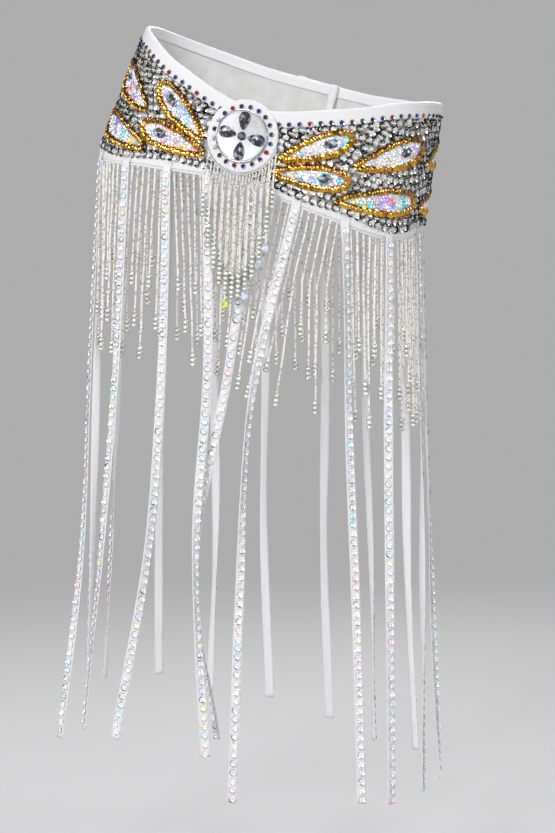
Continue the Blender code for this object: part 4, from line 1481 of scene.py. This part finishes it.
# Side, slot, fall, how far aside at a third, at two thirds and at the end, how far forward at the
# end, the twist in degrees and where it is.
RIBBON_TABLE = (
    (-1, 3, 0.612, 0.001, -0.012, -0.001, 0.060, 75.0, 0.72),
    (-1, 9, 0.608, -0.005, -0.020, -0.056, 0.040, 60.0, 0.66),
    (-1, 16, 0.610, -0.010, -0.026, -0.046, 0.042, -35.0, 0.90),
    (-1, 23, 0.637, -0.011, -0.021, -0.046, 0.024, 30.0, 0.85),
    (-1, 30, 0.606, -0.008, -0.014, -0.022, 0.000, -55.0, 0.50),
    (-1, 37, 0.606, -0.010, -0.020, -0.030, -0.016, 60.0, 0.75),
    (-1, 44, 0.600, -0.006, -0.014, -0.016, -0.034, 45.0, 0.45),
    (-1, 51, 0.608, -0.004, -0.002, -0.010, -0.034, -60.0, 0.80),
    (-1, 58, 0.602, 0.003, 0.001, 0.008, -0.036, 50.0, 0.55),
    (1, 3, 0.585, -0.028, -0.062, -0.040, 0.012, -70.0, 0.80),
    (1, 9, 0.632, -0.048, -0.060, -0.068, 0.030, 62.0, 0.42),
    (1, 16, 0.613, 0.004, 0.012, 0.018, 0.030, 45.0, 0.16),
    (1, 23, 0.604, -0.001, 0.001, 0.003, 0.024, -58.0, 0.45),
    (1, 30, 0.606, 0.004, 0.006, 0.008, 0.014, 60.0, 0.60),
    (1, 37, 0.610, 0.006, 0.014, 0.024, -0.008, -50.0, 0.75),
    (1, 44, 0.600, 0.008, 0.012, 0.022, -0.022, 65.0, 0.40),
    (1, 51, 0.612, 0.002, 0.010, 0.014, -0.032, -45.0, 0.85),
    (1, 58, 0.606, 0.004, 0.003, 0.010, -0.036, 55.0, 0.65),
)


def sway_at(share, third, two_thirds, whole):
    """How far aside a ribbon is, on a smooth curve that runs on past both ends."""
    asides = (-third, 0.0, third, two_thirds, whole, 2 * whole - two_thirds)
    return table_value([((i - 1) / 3, aside) for i, aside in enumerate(asides)], share)


def ribbon_middle(distance, share, fall, sways, ahead):
    """A point down the middle of a ribbon. A share below 0 lies on the binding."""
    hem = hem_at(distance)
    middle = RIBBON_SEAT + RIBBON_WALL / 2
    if share <= 0:
        rise = -share * (RIBBON_SEWN + WALL)
        return cloth(distance, hem - WALL + rise, middle)
    root = cloth(distance, hem - WALL, middle)
    return root + Vector((sway_at(share, *sways), -ahead * share, -fall * share))


def ribbon_axes(row, share):
    """The middle, the way across and the way out of a ribbon at a share of its fall."""
    side, slot, fall, third, two_thirds, whole, ahead, twist, twist_share = row
    distance = side * (slot + 0.5) * PITCH
    sways = (third, two_thirds, whole)
    middle = ribbon_middle(distance, share, fall, sways, ahead)
    step = 1 / 32 if share > 0 else 0.5
    before, after = (ribbon_middle(distance, share + s, fall, sways, ahead) for s in (-step, step))
    heading = (after - before).normalized()
    turn = math.radians(twist) * math.exp(-(((share - twist_share) / TWIST_SPREAD) ** 2))
    turn *= eased(share / 0.03)
    across = cloth_along(distance)
    flat = (across - heading * across.dot(heading)).normalized()
    width = flat * math.cos(turn) + flat.cross(heading) * math.sin(turn)
    return middle, width, heading.cross(width).normalized()


print("ribbons:", len(RIBBON_TABLE), "longest fall", max(row[2] for row in RIBBON_TABLE))

# %% Ribbons and their sequins
RIBBON_STEPS, RIBBON_CURL = 110, 0.0004
SEQUIN_PITCH, SEQUIN_LIFT, SEQUIN_START = 0.0094, 0.0008, 0.7


def ribbon_tint():
    """Silver for about half, and for the rest a pearly tint let down with white."""
    if shake.random() < 0.5:
        return shake.choice(((0.90, 0.90, 0.94), (0.66, 0.66, 0.72), (0.96, 0.96, 0.98)))
    return tuple((part + 0.25) / 1.25 for part in shake.choice(PEARL_TINTS[WHITE_TINTS:]))


def make_ribbon(row, label, number):
    """Makes one ribbon and returns the places of its sequins."""
    fall = row[2]

    def place(along, across):
        share = along * (1 + 1 / RIBBON_STEPS) - 1 / RIBBON_STEPS if along else -1.0
        middle, width, face = ribbon_axes(row, share)
        curl = RIBBON_CURL * (1 - (2 * across - 1) ** 2)
        return middle + width * RIBBON_WIDTH * (across - 0.5) + face * (RIBBON_CLOTH / 2 - curl)

    name = f"satin_ribbon_{label}_{number}"
    ribbon = sheet_piece(name, RIBBON_STEPS, 4, place, RIBBON_CLOTH, RIBBON_SATIN)
    seat(ribbon, "ribbon", f"ribbon_{label}_{number}")
    places = []
    for i in range(int(fall / SEQUIN_PITCH)):
        share = (i + SEQUIN_START) * SEQUIN_PITCH / fall
        middle, width, face = ribbon_axes(row, share)
        turn = tilted(facing(face, width), 0.14)
        places.append((middle + face * SEQUIN_LIFT, turn, FULL_SIZE, ribbon_tint()))
    return places


for side, label in SIDES:
    places = []
    rows = [row for row in RIBBON_TABLE if row[0] == side]
    for number, row in enumerate(rows, 1):
        places += make_ribbon(row, label, number)
    seat(scatter(f"ribbon_sequins_{label}", RIBBON_CUP, places), "ribbon")

# %% [markdown]
# ## What stays from the frame
#
# The fastening between the two ends at centre back hardly shows, so its solid stays and only gets
# its cloth. The templates have done their work and go.

# %% Fastening and clearing up
fastening = frame["nodes"]["closure_tape"]
fastening.data.materials.clear()
fastening.data.materials.append(FASTENING_CLOTH)
for piece in list(bpy.data.objects):
    if piece.name.endswith("_template"):
        bpy.data.objects.remove(piece)

# %% [markdown]
# ## Floor and light
#
# White beads on white paper would vanish, so the floor and the room are a pale grey. The floor is a
# round sheet whose edge fades away, so the belt can be looked at from every side. Sequins need
# dark and bright things to mirror: soft lamps are the bright ones, and the ceiling the dark one.

# %% Floor
FLOOR_LEVEL = -0.80
FLOOR_RADIUS, FADE_START = 2.6, 0.9

PAPER, tree, shader = new_material("floor_paper", (0.62, 0.62, 0.63), 0.9)
place = object_vector(tree)
reach = feed(tree, add_node(tree, "ShaderNodeVectorMath", operation="LENGTH"), Vector=place)
fade = mapped(
    tree, reach.outputs["Value"], (FADE_START, FLOOR_RADIUS), (1.0, 0.0), interpolation_type="SMOOTHSTEP"
)
feed(tree, shader, Alpha=fade)
add_bump(tree, shader, use_group(tree, POLISH, place, Scale=900.0, Low=0.0, High=1.0)["Height"], 0.0002)
bm = bmesh.new()
bmesh.ops.create_circle(bm, cap_ends=True, segments=64, radius=FLOOR_RADIUS)
bmesh.ops.translate(bm, vec=(0.0, 0.0, FLOOR_LEVEL), verts=bm.verts)
from_bmesh("floor", bm, PAPER, smooth=False)
print("floor", round(hem_centre.z - FLOOR_LEVEL, 2), "m below the middle of the hem line")

# %% Lamps and room
# Name, place, size, power.
LAMP_TABLE = (
    ("key_lamp", (-1.5, -2.8, 1.6), 1.0, 80.0),
    ("front_lamp", (0.3, -3.7, 0.5), 0.9, 32.0),
    ("right_lamp", (2.8, -0.8, 0.8), 0.7, 20.0),
    ("left_lamp", (-2.9, 0.6, 0.9), 0.7, 20.0),
    ("back_lamp", (0.9, 3.2, 1.3), 1.0, 60.0),
    ("top_lamp", (0.2, 0.2, 2.4), 1.2, 24.0),
)
AIM = Vector((0.0, 0.0, -0.25))
ROOM_GREY, CEILING = 0.42, 0.07
for name, spot, size, power in LAMP_TABLE:
    light = bpy.data.lights.new(name, "AREA")
    light.shape = "SQUARE"
    light.size = size
    light.energy = power
    lamp = bpy.data.objects.new(name, light)
    lamp.location = spot
    lamp.rotation_euler = (AIM - Vector(spot)).to_track_quat("-Z", "Y").to_euler()
    lamp.visible_camera = False
    bpy.context.scene.collection.objects.link(lamp)

room = bpy.data.worlds.new("room")
room.use_nodes = True
sky = room.node_tree
direction = add_node(sky, "ShaderNodeTexCoord").outputs["Generated"]
split = feed(sky, add_node(sky, "ShaderNodeSeparateXYZ"), Vector=direction)
climb = mapped(sky, split.outputs["Z"], (0.12, 0.65), (ROOM_GREY, CEILING), interpolation_type="SMOOTHSTEP")
feed(sky, sky.nodes["Background"], Color=climb)
bpy.context.scene.world = room
bpy.context.scene.view_settings.view_transform = "Standard"
print("lamps:", len(LAMP_TABLE))
